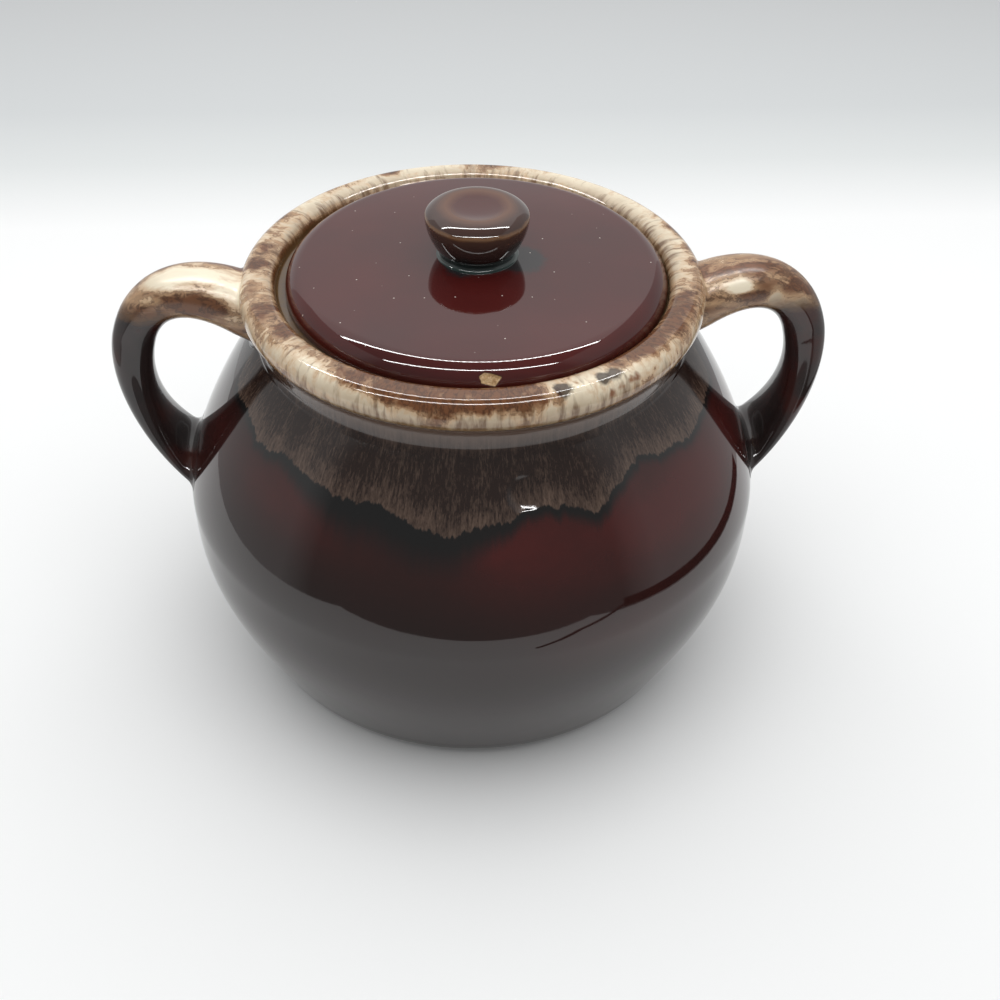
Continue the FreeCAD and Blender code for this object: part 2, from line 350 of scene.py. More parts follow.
BASE_RADIUS = 75.9
BELLY_HEIGHT = 64.4
BELLY_FALL = 19.0
BELLY_RISE = 13.7
FLANK_HEIGHT = 38.0
NECK_RADIUS = 66.8
NECK_HEIGHT = 120.4
SHOULDER_SLOPE = math.radians(50.9)
SHOULDER_LENGTH = 11.6
WALL = 6.5
COLLAR_RADIUS = 72.0
COLLAR_FOOT = 129.6
SEAT_RADIUS = 60.6
SEAT_HEIGHT = 134.5
SEAT_ROUND = 1.1
MOUTH_RADIUS = 54.5
MOUTH_ROUND = 0.8
MOUTH_FOOT = 127.5
MOUTH_BEND = (55.5, 123.0)
FLOOR_HEIGHT = 8.0
FLOOR_RADIUS = 64.0
FLOOR_CORNER = 72.2
RECESS_DEPTH = 2.5
RECESS_ROUND = 1.5
RING_INSIDE = 60.9
RING_OUTSIDE = 69.9
RING_ROUND = 0.8
FOOT_EDGE = 75.0
RIM_OUTER_ROUND = 4.2
RIM_INNER_ROUND = 4.4
# Shares of the flank's and the shoulder's curves where the roundings beside them begin.
FLANK_START = 0.05
SHOULDER_END = 0.965
INSIDE_FLANK_END = 0.86
# The crease below the neck, the neck and the collar's underside, as (radius, height).
CREASE = ((68.0, 119.4), (66.6, 120.5), (66.9, 122.0))
NECK_CURVE = (CREASE[-1], (66.9, 126.2), (67.5, 128.2), (69.3, 129.5))
COLLAR_CURVE = (NECK_CURVE[-1], (71.4, 130.8), (COLLAR_RADIUS, 132.4), (COLLAR_RADIUS, 134.4))
# How many of the pot's strokes lie under its base, and how many end at the rim's crown.
UNDERSIDE_STROKES = 3
OUTSIDE_STROKES = 11
# How far the rim's white glaze reaches from the crown down into the seat, and how far above that
# edge it turns brown and is all brown, in mm.
WHITE_INSIDE = 12.0
BROWN_INSIDE = (7.5, 3)
# A distance below the fringe's edge at which only brown glaze is left, in mm.
PAST_FRINGE = 40

# The fringe: how far the white glaze ran below the neck crease, in mm, and the single runs that
# reach further, as (angle, extra mm, half width in degrees).
FRINGE_RUN = 14.5
FRINGE_RUNS = (
    (-147, 2.5, 7), (-121, 4.0, 13), (-98, 9.5, 9), (-66, 7.0, 7), (-84, 4.0, 7), (-34, 2.5, 9),
    (-52, -2.0, 6), (38, 4.0, 9), (62, 6.5, 8), (88, 9.0, 11), (118, 4.5, 9), (143, 6.0, 8),
)
# Half of the gap that each handle leaves in the fringe, in degrees, and how softly it opens.
HANDLE_GAP = 9.0
GAP_EDGE = (-3, 4)
# How wide the glaze below the fringe is blue black, in mm, and where it is wider.
HALO_WIDTH = 3.0
HALO_RUNS = ((-112, 11.0, 19), (-94, 4.0, 9), (-66, 2.0, 9), (60, 4.0, 20), (122, 6.0, 22))
# Where the brown glaze turns red, as (angle, half width, mm below the crease, half height, amount).
RED_PLACES = (
    (-60, 42, 29, 17, 0.85), (-90, 9, 26, 8, 0.4), (-33, 22, 36, 20, 0.3), (-62, 16, 63, 9, 0.35),
    (-138, 26, 27, 11, 0.5), (40, 30, 30, 18, 0.85), (95, 32, 34, 16, 0.75), (150, 26, 26, 15, 0.6),
    (0, 22, 40, 22, 0.4), (180, 22, 40, 22, 0.3),
)
# Brown stains in the white glaze of the rim, as (angle, half width, mm above the collar's foot,
# half height, amount).
STAINS = (
    (-106, 22, 17.5, 6, 1.2), (-84, 8, 17.5, 6, 1.2), (-158, 18, 15, 7, 0.75),
    (172, 10, 15, 6.5, 0.7), (152, 8, 13, 6, 0.5), (128, 9, 12, 4, 0.5), (112, 4, 12, 4, 0.7),
    (82, 14, 14, 8, 0.45), (57, 7, 9, 3, 0.8), (40, 10, 9, 3.5, 0.8), (20, 9, 10, 4, 0.75),
    (-3, 17, 11, 5, 0.5), (-28, 14, 15, 6.5, 1.0), (-49, 9, 18, 5, 1.0), (-100, 3, 5, 3.5, 0.7),
    (-97, 19, 10.5, 2.6, 0.9), (-80, 4, 4, 4, 0.4), (-50, 15, 3, 3.5, 0.5), (-140, 12, 3, 4, 0.5),
    (-69, 3, 21, 3, 0.8),
)
# Small drops of other glaze on the rim, as (place in mm, radius in mm, sRGB hex).
DROPS = (
    ((21.9, -64.4, 140.0), 3.0, "#2a1b15"), ((26.0, -61.5, 140.0), 0.9, "#9a6a34"),
    ((33.6, -59.4, 140.0), 2.5, "#2a1b15"), ((36.8, -57.6, 140.0), 2.4, "#33221a"),
    ((43.5, -56.4, 137.7), 1.3, "#7b4a2a"), ((41.9, -57.5, 137.7), 1.2, "#86552f"),
    ((38.9, -59.9, 137.1), 1.0, "#86552f"), ((36.2, -62.0, 136.0), 1.3, "#7b4a2a"),
)
# Two dents in the shoulder, as angle, height, radius and share of the full depth.
DENTS = ((-80.6, 110.6, 5.6, 1.0), (-81.2, 103.2, 2.4, 0.45))


def flank(inset):
    """Base to belly, as Bezier poles."""
    belly = bpy.context.scene.bean_pot.belly / MM - inset
    return [
        (BASE_RADIUS - inset, 0), (belly, FLANK_HEIGHT), (belly, BELLY_HEIGHT - BELLY_FALL),
        (belly, BELLY_HEIGHT),
    ]


def shoulder(inset):
    """Belly to neck, as Bezier poles."""
    belly = bpy.context.scene.bean_pot.belly / MM - inset
    radius = NECK_RADIUS - inset * math.cos(SHOULDER_SLOPE)
    height = NECK_HEIGHT - inset * math.sin(SHOULDER_SLOPE)
    return [
        (belly, BELLY_HEIGHT), (belly, BELLY_HEIGHT + BELLY_RISE),
        (radius + SHOULDER_LENGTH * math.sin(SHOULDER_SLOPE),
         height - SHOULDER_LENGTH * math.cos(SHOULDER_SLOPE)),
        (radius, height),
    ]


def pot_strokes():
    """Outline of the pot from under its base, up the outside, over the rim and down inside."""
    rim = bpy.context.scene.bean_pot.rim / MM
    crown = COLLAR_RADIUS - RIM_OUTER_ROUND
    crown_inside = SEAT_RADIUS + RIM_INNER_ROUND
    roll_end = rim - RIM_INNER_ROUND
    inner_neck = shoulder(WALL)[-1]
    flank_foot = bezier(flank(0), 1, 0, FLANK_START)[-1]
    inside_foot = bezier(flank(WALL)[::-1], 1, 0, INSIDE_FLANK_END)[-1]
    recess_end = RING_INSIDE - RECESS_ROUND
    seat_out, seat_in = SEAT_RADIUS - SEAT_ROUND, MOUTH_RADIUS + MOUTH_ROUND
    mouth_top = SEAT_HEIGHT - MOUTH_ROUND
    return (0, RECESS_DEPTH), [
        ([(0, RECESS_DEPTH), (recess_end, RECESS_DEPTH)], 10, 0, 0),
        (corner((recess_end, RECESS_DEPTH), (RING_INSIDE, RECESS_DEPTH),
                (RING_INSIDE, RING_ROUND)), 5, 0, 1),
        (corner((RING_INSIDE, RING_ROUND), (RING_INSIDE, 0), (RING_INSIDE + RING_ROUND, 0)), 4, 0, 1),
        ([(RING_INSIDE + RING_ROUND, 0), (RING_OUTSIDE, 0)], 4, 0, 1),
        (corner((RING_OUTSIDE, 0), (FOOT_EDGE, 0), flank_foot), 8, 0, 0),
        (flank(0), 46, 1, 0, FLANK_START, 1),
        (shoulder(0), 58, 1, 0, 0, SHOULDER_END),
        (corner(*CREASE), 8, 0.3, 0),
        (NECK_CURVE, 10, 0.3, 0),
        (COLLAR_CURVE, 10, 0.3, 0),
        (corner(COLLAR_CURVE[-1], (COLLAR_RADIUS, rim), (crown, rim)), 16, 0.3, 0),
        ([(crown, rim), (crown_inside, rim)], 4, 0.3, 0),
        (corner((crown_inside, rim), (SEAT_RADIUS, rim), (SEAT_RADIUS, roll_end)), 12, 0, 0),
        (corner((SEAT_RADIUS, roll_end), (SEAT_RADIUS, SEAT_HEIGHT), (seat_out, SEAT_HEIGHT)), 4, 0, 0),
        ([(seat_out, SEAT_HEIGHT), (seat_in, SEAT_HEIGHT)], 3, 0, 0),
        (corner((seat_in, SEAT_HEIGHT), (MOUTH_RADIUS, SEAT_HEIGHT), (MOUTH_RADIUS, mouth_top)), 4, 0, 0),
        ([(MOUTH_RADIUS, mouth_top), (MOUTH_RADIUS, MOUTH_FOOT)], 3, 0, 0),
        ([(MOUTH_RADIUS, MOUTH_FOOT), MOUTH_BEND, inner_neck], 6, 0, 0),
        (shoulder(WALL)[::-1], 22, 0.5, 0),
        (flank(WALL)[::-1], 20, 0.5, 0, 0, INSIDE_FLANK_END),
        (corner(inside_foot, (FLOOR_CORNER, FLOOR_HEIGHT), (FLOOR_RADIUS, FLOOR_HEIGHT)), 7, 0, 0),
        ([(FLOOR_RADIUS, FLOOR_HEIGHT), (0, FLOOR_HEIGHT)], 10, 0, 0),
    ]


def steps_of(strokes):
    """How many points some strokes add to an outline."""
    return sum(stroke[1] for stroke in strokes)


def bump(angles, centre, half_width):
    """1 at an angle, falling smoothly to 0 about two half widths away."""
    apart = (angles - centre + 180) % 360 - 180
    return np.exp(-(apart / half_width) ** 2)


def lobes(angles, places):
    """Sum of (angle, amount, half width) bumps."""
    return sum(amount * bump(angles, centre, width) for centre, amount, width in places)


def patches(angles, run, places):
    """Sum of soft (angle, half width, run, half height, amount) patches."""
    return sum(
        amount * bump(angles, centre, wide) * np.exp(-((run - middle) / high) ** 2)
        for centre, wide, middle, high, amount in places
    )


def smooth(value, low, high):
    """0 at low, 1 at high, smooth between."""
    share = np.clip((value - low) / (high - low), 0, 1)
    return share * share * (3 - 2 * share)


def outer_profile():
    """(heights, radii, runs) of the pot's outside from the base to the rim's crown, in mm."""
    first, strokes = pot_strokes()
    points = outline_points(first, strokes[:OUTSIDE_STROKES])
    runs = np.r_[0.0, np.cumsum(np.hypot(*np.diff(points, axis=0).T))]
    outside = slice(1 + steps_of(strokes[:UNDERSIDE_STROKES]), None)
    return points[outside, 1], points[outside, 0], runs[outside]


def lay_body_glaze(mesh):
    """Stores where the glazes lie on the pot, with some painted shade in the seat.

    fringe is mm below the fringe's edge, halo the width of the dark glaze below it, dip is mm above
    the lower edge of the white glaze, red and stain are shares.
    """
    places = corners_of(mesh)
    run = values_of(mesh, "run") / MM
    angles = np.degrees(np.arctan2(places[:, 1], places[:, 0]))
    heights, _, runs = outer_profile()
    below = np.interp(NECK_HEIGHT, heights, runs) - run
    above = run - np.interp(COLLAR_FOOT, heights, runs)
    inside = runs[-1] + WHITE_INSIDE - run
    open_side = np.minimum(np.abs(angles), 180 - np.abs(angles)) - HANDLE_GAP
    reach = (FRINGE_RUN + lobes(angles, FRINGE_RUNS)) * smooth(open_side, *GAP_EDGE)
    store(mesh, "fringe", np.where(inside < 0, PAST_FRINGE, below - reach))
    store(mesh, "halo", HALO_WIDTH + lobes(angles, HALO_RUNS))
    store(mesh, "dip", np.minimum(above, inside))
    store(mesh, "red", np.clip(0.08 + patches(angles, below, RED_PLACES), 0, 1.1))
    # Deep in the seat the glaze is brown; the extra amount round -170 degrees is painted shade on the left
    # inner wall, in the gap beside the lid.
    brown_wall_and_shade = smooth(inside, *BROWN_INSIDE) * (0.35 + 0.6 * bump(angles, -170, 60))
    store(mesh, "stain_and_painted_light", np.maximum(patches(angles, above, STAINS), brown_wall_and_shade))


def dent_shoulder(mesh, depth):
    """Presses the dents into the shoulder. depth is that of the deepest one, in metres."""
    places = corners_of(mesh)
    heights, _, runs = outer_profile()
    depths = np.zeros(len(places))
    for angle, height, radius, share in DENTS:
        turned = np.degrees(np.arctan2(places[:, 1], places[:, 0])) - angle
        away = np.radians(turned) * np.hypot(places[:, 0], places[:, 1])
        up = values_of(mesh, "run") / MM - np.interp(height, heights, runs)
        depths += depth / MM * share * np.exp(-((away ** 2 + up ** 2) / radius ** 2) ** 2)
    press(mesh, depths)


class BEANPOT_OT_turn_body(bpy.types.Operator):
    """Turns the pot body from its outline and glazes it"""
    bl_idname = "bean_pot.turn_body"
    bl_label = "Turn Pot Body"

    def execute(self, context):
        sizes = context.scene.bean_pot
        first, strokes = pot_strokes()
        pot = turn("pot", first, strokes, {
            "Facets": sizes.turns, "Wobble": sizes.wobble, "Wobble size": 70 * MM, "Seed": 3.0,
            "Glaze": drip_glaze("brown_drip_glaze_body"), "Clay": bare_clay(),
        })
        lay_body_glaze(pot.data)
        dent_shoulder(pot.data, sizes.dent)
        finish_piece(pot, "pot_body", "pot")
        return {"FINISHED"}


# ---------------------------------------------------------------------------------------------
# Handles
# ---------------------------------------------------------------------------------------------

ROOT = (70.8, 128.2)
ROOT_ANGLE = math.radians(30.6)
ROOT_PULL = 43.1
FOOT = (91.2, 68.3)
FOOT_ANGLE = math.radians(43.1)
FOOT_PULL = 42.7
ROOT_WIDTH = 23.4
ROOT_THICKNESS = 17.4
FOOT_WIDTH = 33.4
FOOT_THICKNESS = 5.2
FLARE_POWER = 1.5
OVAL_POWER = 2.25
AROUND = 160
ALONG = 120
FILLET_STEPS = 24
# Shares of the path between which the handle's skin enters the pot, at its root and at its foot.
ROOT_SEARCH = (0.45, -0.3)
FOOT_SEARCH = (0.55, 1.3)
# The fillets' smallest reach as a share of their full reach, which they have in the crotch, and how
# steeply the lower one grows towards it.
ROOT_LEAST = 0.4
FOOT_LEAST = 0.12
FOOT_GROWTH = 1.5
# How far the fillets' rims are sunk under the pot's glaze, and the hidden ends below them, in mm.
FILLET_SINK = 0.12
END_SINK = 1.6
# Lower edge of the white glaze on the handles: its height near the pot, and how much higher it is
# further out, between two distances from the axis, in mm.
DIP_HEIGHT = 119.5
DIP_RISE = 7.0
DIP_REACH = (78, 95)

# Cream and brown places on the handles, as (x, y, z in mm, half length along x, half width, stain). The
# cream place with stain -1.0 on top of each handle is partly a painted highlight, the soft sheen of the lamp
# strips.
HANDLE_STAIN = 0.55
HANDLE_PLACES_AND_SHEEN = {
    "handle_left": (
        (-89, -3, 139.6, 11, 3.4, -1.0), (-73, -6, 136, 7, 7, -0.6), (-86, -9.8, 133.5, 9, 2.6, 0.9),
        (-99, -7.5, 128.4, 7, 3, 0.5), (-96, -7, 134, 6, 2, -0.3), (-106, -5, 126, 4, 4, 0.3),
    ),
    "handle_right": (
        (82, -8.4, 136.6, 3.4, 2.2, -1.0), (93.5, -8.3, 132.6, 2.4, 2.4, -0.7),
        (102.4, -7, 128.3, 5, 2.4, -0.8), (84, -9.4, 133.6, 9, 1.2, 0.8), (97, -4, 137, 8, 5, 0.1),
        (88.5, -9, 131, 3, 3, 0.4),
    ),
}


def handle_line(share, turn_angle, sizes):
    """Points of the handle's skin in mm, at a share of its path and an angle round its section."""
    way = [np.array(ROOT), np.array(ROOT), np.array(FOOT), np.array(FOOT)]
    way[1] = way[1] + ROOT_PULL * np.array((math.cos(ROOT_ANGLE), math.sin(ROOT_ANGLE)))
    way[2] = way[2] + FOOT_PULL * np.array((math.cos(FOOT_ANGLE), math.sin(FOOT_ANGLE)))
    inside = np.clip(share, 0, 1)[..., None]
    turned = 1 - inside
    middle = (
        turned ** 3 * way[0] + 3 * turned ** 2 * inside * way[1]
        + 3 * turned * inside ** 2 * way[2] + inside ** 3 * way[3]
    )
    pace = (
        3 * turned ** 2 * (way[1] - way[0]) + 6 * turned * inside * (way[2] - way[1])
        + 3 * inside ** 2 * (way[3] - way[2])
    )
    middle = middle + pace * (share - np.clip(share, 0, 1))[..., None]
    ahead = pace / np.linalg.norm(pace, axis=-1, keepdims=True)
    outward = np.stack([-ahead[..., 1], ahead[..., 0]], -1)
    flare = np.abs(2 * np.clip(share, 0, 1) - 1) ** FLARE_POWER
    first = share < 0.5
    grip = sizes.grip_width / MM
    thick = sizes.grip_thickness / MM
    width = grip + (np.where(first, ROOT_WIDTH, FOOT_WIDTH) - grip) * flare
    thickness = thick + (np.where(first, ROOT_THICKNESS, FOOT_THICKNESS) - thick) * flare
    side, lift = np.cos(turn_angle), np.sin(turn_angle)
    side = np.sign(side) * np.abs(side) ** (2 / OVAL_POWER)
    lift = np.sign(lift) * np.abs(lift) ** (2 / OVAL_POWER)
    plane = middle + outward * (lift * thickness / 2)[..., None]
    return np.stack([plane[..., 0], side * width / 2, plane[..., 1]], -1)


def outside_pot(points, profile):
    """Distance outside the pot's wall, measured level, in mm."""
    heights, radii, _ = profile
    wall = np.interp(points[..., 2], heights, radii)
    return np.hypot(points[..., 0], points[..., 1]) - wall


def onto_pot(points, profile, sink):
    """The nearest points of the pot's wall, sunk a little under its glaze."""
    heights, radii, _ = profile
    moved = points.copy()
    step = 0.3
    for _ in range(6):
        gap = outside_pot(moved, profile) + sink
        higher = np.interp(moved[..., 2] + step, heights, radii)
        slope = (higher - np.interp(moved[..., 2] - step, heights, radii)) / (2 * step)
        away = np.hypot(moved[..., 0], moved[..., 1])
        normal = np.stack([moved[..., 0] / away, moved[..., 1] / away, -slope], -1)
        moved = moved - normal * (gap / (1 + slope ** 2))[..., None]
    return moved


def meeting(sizes, profile, turns, start, end):
    """Share of the path where each line of the handle's skin enters the pot."""
    shares = np.linspace(start, end, 500)
    grid = np.repeat(shares[:, None], len(turns), 1)
    gaps = outside_pot(handle_line(grid, np.broadcast_to(turns, grid.shape), sizes), profile)
    place = np.argmax(gaps < 0, axis=0)
    here = gaps[place, np.arange(len(turns))]
    before = gaps[place - 1, np.arange(len(turns))]
    return shares[place - 1] + (shares[place] - shares[place - 1]) * before / (before - here)


def fillet_rings(sizes, profile, turns, entry, way, reach):
    """Rings from the handle's skin to the pot's wall. way is -1 at the root and 1 at the foot."""
    crossing = handle_line(entry, turns, sizes)
    step = 0.002
    pace = np.linalg.norm(handle_line(entry + step, turns, sizes) - crossing, axis=-1) / step
    start = handle_line(entry - way * reach / pace, turns, sizes)
    around = np.roll(crossing, -1, axis=0) - np.roll(crossing, 1, axis=0)
    spread = np.cross(crossing * (1, 1, 0), around) * way
    spread = spread / np.linalg.norm(spread, axis=-1, keepdims=True) * reach[:, None]
    end = onto_pot(onto_pot(crossing + spread, profile, 0), profile, FILLET_SINK)
    rings = [
        start * (1 - share) ** 2 + crossing * 2 * share * (1 - share) + end * share ** 2
        for share in np.linspace(0, 1, FILLET_STEPS + 1)
    ]
    return rings + [onto_pot(end, profile, END_SINK)], entry - way * reach / pace


def handle_mesh(name, side, sizes):
    """One handle as a closed skin. side is 1 for +X and -1 for -X."""
    profile = outer_profile()
    turns = np.linspace(0, 2 * math.pi, AROUND, endpoint=False)
    root = meeting(sizes, profile, turns, *ROOT_SEARCH)
    foot = meeting(sizes, profile, turns, *FOOT_SEARCH)
    crotch = (1 - np.sin(turns)) / 2
    root_reach = sizes.root_fillet / MM * (ROOT_LEAST + (1 - ROOT_LEAST) * crotch)
    foot_reach = sizes.foot_fillet / MM * (FOOT_LEAST + (1 - FOOT_LEAST) * crotch ** FOOT_GROWTH)
    root_rings, root_share = fillet_rings(sizes, profile, turns, root, -1, root_reach)
    foot_rings, foot_share = fillet_rings(sizes, profile, turns, foot, 1, foot_reach)
    body = [
        handle_line(root_share + (foot_share - root_share) * step / ALONG, turns, sizes)
        for step in range(1, ALONG)
    ]
    rings = root_rings[::-1] + body + foot_rings
    points = np.vstack(rings + [rings[0].mean(axis=0)[None], rings[-1].mean(axis=0)[None]])
    points[:, :2] *= side
    faces = []
    count = len(rings)
    for ring in range(count - 1):
        for step in range(AROUND):
            after = (step + 1) % AROUND
            faces.append((ring * AROUND + step, ring * AROUND + after,
                          (ring + 1) * AROUND + after, (ring + 1) * AROUND + step))
    low, high = count * AROUND, count * AROUND + 1
    last = (count - 1) * AROUND
    for step in range(AROUND):
        after = (step + 1) % AROUND
        faces.append((low, after, step))
        faces.append((high, last + step, last + after))
    mesh = bpy.data.meshes.new(name + "_pulled")
    mesh.from_pydata(points * MM, [], faces)
    mesh.polygons.foreach_set("use_smooth", [True] * len(mesh.polygons))
    reach = np.abs(points[:, 0])
    dip_line = DIP_HEIGHT + DIP_RISE * smooth(reach, *DIP_REACH)
    stain_and_painted_light = np.full(len(points), HANDLE_STAIN)
    # Negative amounts give cream glaze; the strongest of them also paint a highlight on the handle's top.
    for x, y, z, long, wide, amount in HANDLE_PLACES_AND_SHEEN[name]:
        across = (points[:, 1] - y) ** 2 + (points[:, 2] - z) ** 2
        stain_and_painted_light += amount * np.exp(-((points[:, 0] - x) / long) ** 2 - across / wide ** 2)
    store(mesh, "dip", points[:, 2] - dip_line)
    store(mesh, "stain_and_painted_light", stain_and_painted_light)
    return mesh


class BEANPOT_OT_pull_handles(bpy.types.Operator):
    """Pulls the two strap handles and smooths their joints over the pot"""
    bl_idname = "bean_pot.pull_handles"
    bl_label = "Pull Handles"

    def execute(self, context):
        sizes = context.scene.bean_pot_handles
        glaze = handle_glaze("brown_drip_glaze_handle")
        for name, side in (("handle_right", 1), ("handle_left", -1)):
            mesh = handle_mesh(name, side, sizes)
            mesh.materials.append(glaze)
            handle = bpy.data.objects.new(name + "_pulled", mesh)
            context.scene.collection.objects.link(handle)
            finish_piece(handle, name, "pot")
        return {"FINISHED"}


# ---------------------------------------------------------------------------------------------
# Lid and knob
# ---------------------------------------------------------------------------------------------

LID_ROUND = 6.0
LID_THICKNESS = 6.5
FLANGE_RADIUS = 52.5
FLANGE_INSIDE = 47.5
FLANGE_FOOT = 128.0
FLANGE_ROUND = 1.2
FLANGE_ROOT_ROUND = 1.5
LEDGE_ROUND = 0.5
LID_EDGE_ROUND = 0.8
LID_FACETS = 720
# How many of the lid's strokes run from under its edge to the middle of its top.
LID_TOP_STROKES = 4
KNOB_FACETS = 192
KNOB_SINK = 0.05
KNOB_FOOT = 11.4
KNOB_POOL = 1.4
KNOB_FULLNESS = 1.1
KNOB_LIP = 10.4
KNOB_LIP_DROP = 2.8
KNOB_DISH = 1.1
# Where the rounding of the knob's edge begins: as a share of the side below it, and as an angle cut
# from the lip's arc above it, in radians.
KNOB_SIDE_END = 0.95
KNOB_EDGE_CUT = 0.08
# How far inside the lip the poles of the dish's curve are, in mm.
KNOB_DISH_POLES = (2.6, 4.2)

# Chips in the lid's shoulder: where their middle lies, as angle and height, and their outlines, as
# a share of the depth and corners in mm along the edge and down the shoulder.
CHIP_PLACE = (-88.9, 139.0)
# How far outside its outline a chip starts, and how far inside it has its full depth, in mm.
CHIP_EDGE = (-0.15, 0.55)
CHIPS = (
    (1.0, ((-3.1, -1.0), (-1.6, -2.0), (0.6, -1.6), (3.5, -0.5), (1.4, 2.3), (-0.6, 1.7), (-2.4, 1.2))),
    (0.5, ((-3.0, 2.5), (-0.4, 2.4), (-0.7, 3.2), (-2.8, 3.2))),
)

# Blue-black bloom where the knob's glaze ran onto the lid, as (place, radius) in mm. The first, right of the
# knob, is partly a painted shadow of the knob.
BLOOMS_AND_SHADOW = (((14.0, -4.0, 145.0), 8.0), ((-3.5, -8.5, 145.0), 5.5))


def dome_drop(sizes, radius):
    """How far the lid's top is below its crest at a radius, in mm."""
    return sizes.dome / MM * (radius * MM / sizes.radius) ** 2


def lid_strokes(sizes):
    """Outline of the lid from the middle of its underside to the middle of its top."""
    radius, crest, dome = sizes.radius / MM, sizes.crest / MM, sizes.dome / MM
    under = crest - LID_THICKNESS
    inside = FLANGE_INSIDE - FLANGE_ROOT_ROUND
    root = under - dome_drop(sizes, inside)
    root_end = root - FLANGE_ROOT_ROUND
    flat = radius - LID_ROUND
    edge = crest - dome * (2 * radius * flat - flat ** 2) / radius ** 2
    low, flange_end = FLANGE_FOOT + FLANGE_ROUND, FLANGE_RADIUS - FLANGE_ROUND
    foot_start = FLANGE_INSIDE + FLANGE_ROUND
    ledge, ledge_start = SEAT_HEIGHT - LEDGE_ROUND, FLANGE_RADIUS + LEDGE_ROUND
    side, side_start = SEAT_HEIGHT + LID_EDGE_ROUND, radius - LID_EDGE_ROUND
    shoulder_end = (flat, crest - dome_drop(sizes, flat))
    return (0, under), [
        ([(0, under), (inside / 2, under), (inside, root)], 12, 0, 0),
        (corner((inside, root), (FLANGE_INSIDE, root), (FLANGE_INSIDE, root_end)), 4, 0, 0),
        ([(FLANGE_INSIDE, root_end), (FLANGE_INSIDE, low)], 3, 0, 0),
        (corner((FLANGE_INSIDE, low), (FLANGE_INSIDE, FLANGE_FOOT), (foot_start, FLANGE_FOOT)), 4, 0, 1),
        ([(foot_start, FLANGE_FOOT), (flange_end, FLANGE_FOOT)], 2, 0, 1),
        (corner((flange_end, FLANGE_FOOT), (FLANGE_RADIUS, FLANGE_FOOT), (FLANGE_RADIUS, low)), 4, 0, 1),
        ([(FLANGE_RADIUS, low), (FLANGE_RADIUS, ledge)], 3, 0, 1),
        (corner((FLANGE_RADIUS, ledge), (FLANGE_RADIUS, SEAT_HEIGHT), (ledge_start, SEAT_HEIGHT)),
         3, 0, 1),
        ([(ledge_start, SEAT_HEIGHT), (side_start, SEAT_HEIGHT)], 3, 0, 1),
        (corner((side_start, SEAT_HEIGHT), (radius, SEAT_HEIGHT), (radius, side)), 3, 0, 0),
        ([(radius, side), (radius, edge - LID_ROUND)], 2, 0.2, 0),
        (corner((radius, edge - LID_ROUND), (radius, edge), shoulder_end), 30, 0.2, 0),
        ([shoulder_end, (flat / 2, crest), (0, crest)], 40, 0.3, 0),
    ]


def knob_strokes(sizes):
    """Outline of the knob from under its foot, up its side, over the lip and into the dish."""
    top, wide, crest = sizes.knob_top / MM, sizes.knob_radius / MM, sizes.crest / MM
    foot_radius = KNOB_FOOT + KNOB_POOL
    foot = crest - dome_drop(sizes, foot_radius) - KNOB_SINK
    under = crest - KNOB_SINK
    side_foot = (KNOB_FOOT, foot + KNOB_POOL)
    edge = (wide, top - KNOB_LIP_DROP)
    fullest = ((KNOB_FOOT + wide) / 2 + 2 * KNOB_FULLNESS, (side_foot[1] + edge[1]) / 2)
    lip_width = wide - KNOB_LIP
    lip_round = (lip_width ** 2 + KNOB_LIP_DROP ** 2) / (2 * KNOB_LIP_DROP)
    start = math.asin(lip_width / lip_round) - KNOB_EDGE_CUT
    pull = lip_round * math.tan(start / 4) * 4 / 3
    over = (KNOB_LIP + lip_round * math.sin(start), top - lip_round * (1 - math.cos(start)))
    below_edge = bezier([side_foot, fullest, edge], 1, 0, KNOB_SIDE_END)[-1]
    dish_start, dish_end = (KNOB_LIP - reach for reach in KNOB_DISH_POLES)
    return (0, under), [
        ([(0, under), (foot_radius / 2, under), (foot_radius, foot)], 6, 0, 0),
        ([(foot_radius, foot), (KNOB_FOOT, foot), side_foot], 8, 0, 0),
        ([side_foot, fullest, edge], 14, 0.3, 0, 0, KNOB_SIDE_END),
        (corner(below_edge, edge, over), 8, 0.3, 0),
        ([over, (over[0] - pull * math.cos(start), over[1] + pull * math.sin(start)),
          (KNOB_LIP + pull, top), (KNOB_LIP, top)], 18, 0.3, 0),
        ([(KNOB_LIP, top), (dish_start, top), (dish_end, top - KNOB_DISH), (0, top - KNOB_DISH)],
         20, 0, 0),
    ]


def chip_lid(mesh, sizes):
    """Presses the chips into the shoulder and stores how deep each vertex lies in them."""
    first, strokes = lid_strokes(sizes)
    points = outline_points(first, strokes)[-steps_of(strokes[-LID_TOP_STROKES:]):]
    runs = np.r_[0.0, np.cumsum(np.hypot(*np.diff(points, axis=0).T))]
    angle, height = CHIP_PLACE
    middle = np.interp(height, points[:, 1], runs)
    places = corners_of(mesh)
    places[:, 0] -= sizes.shift / MM
    turned = np.degrees(np.arctan2(places[:, 1], places[:, 0])) - angle
    along = np.radians(turned) * sizes.radius / MM
    down = middle - np.interp(places[:, 2], points[:, 1], runs)
    depth = np.zeros(len(places))
    for share, corners in CHIPS:
        inside = np.full(len(places), np.inf)
        for (x0, y0), (x1, y1) in zip(corners, corners[1:] + corners[:1]):
            edge = math.hypot(x1 - x0, y1 - y0)
            apart = ((x1 - x0) * (down - y0) - (y1 - y0) * (along - x0)) / edge
            inside = np.minimum(inside, apart)
        depth = np.maximum(depth, share * smooth(inside, *CHIP_EDGE))
    on_shoulder = np.hypot(places[:, 0], places[:, 1]) > sizes.radius / MM - LID_ROUND
    depth *= on_shoulder & (places[:, 2] > SEAT_HEIGHT + 0.3)
    store(mesh, "chip", depth)
    press(mesh, depth * sizes.chip / MM)


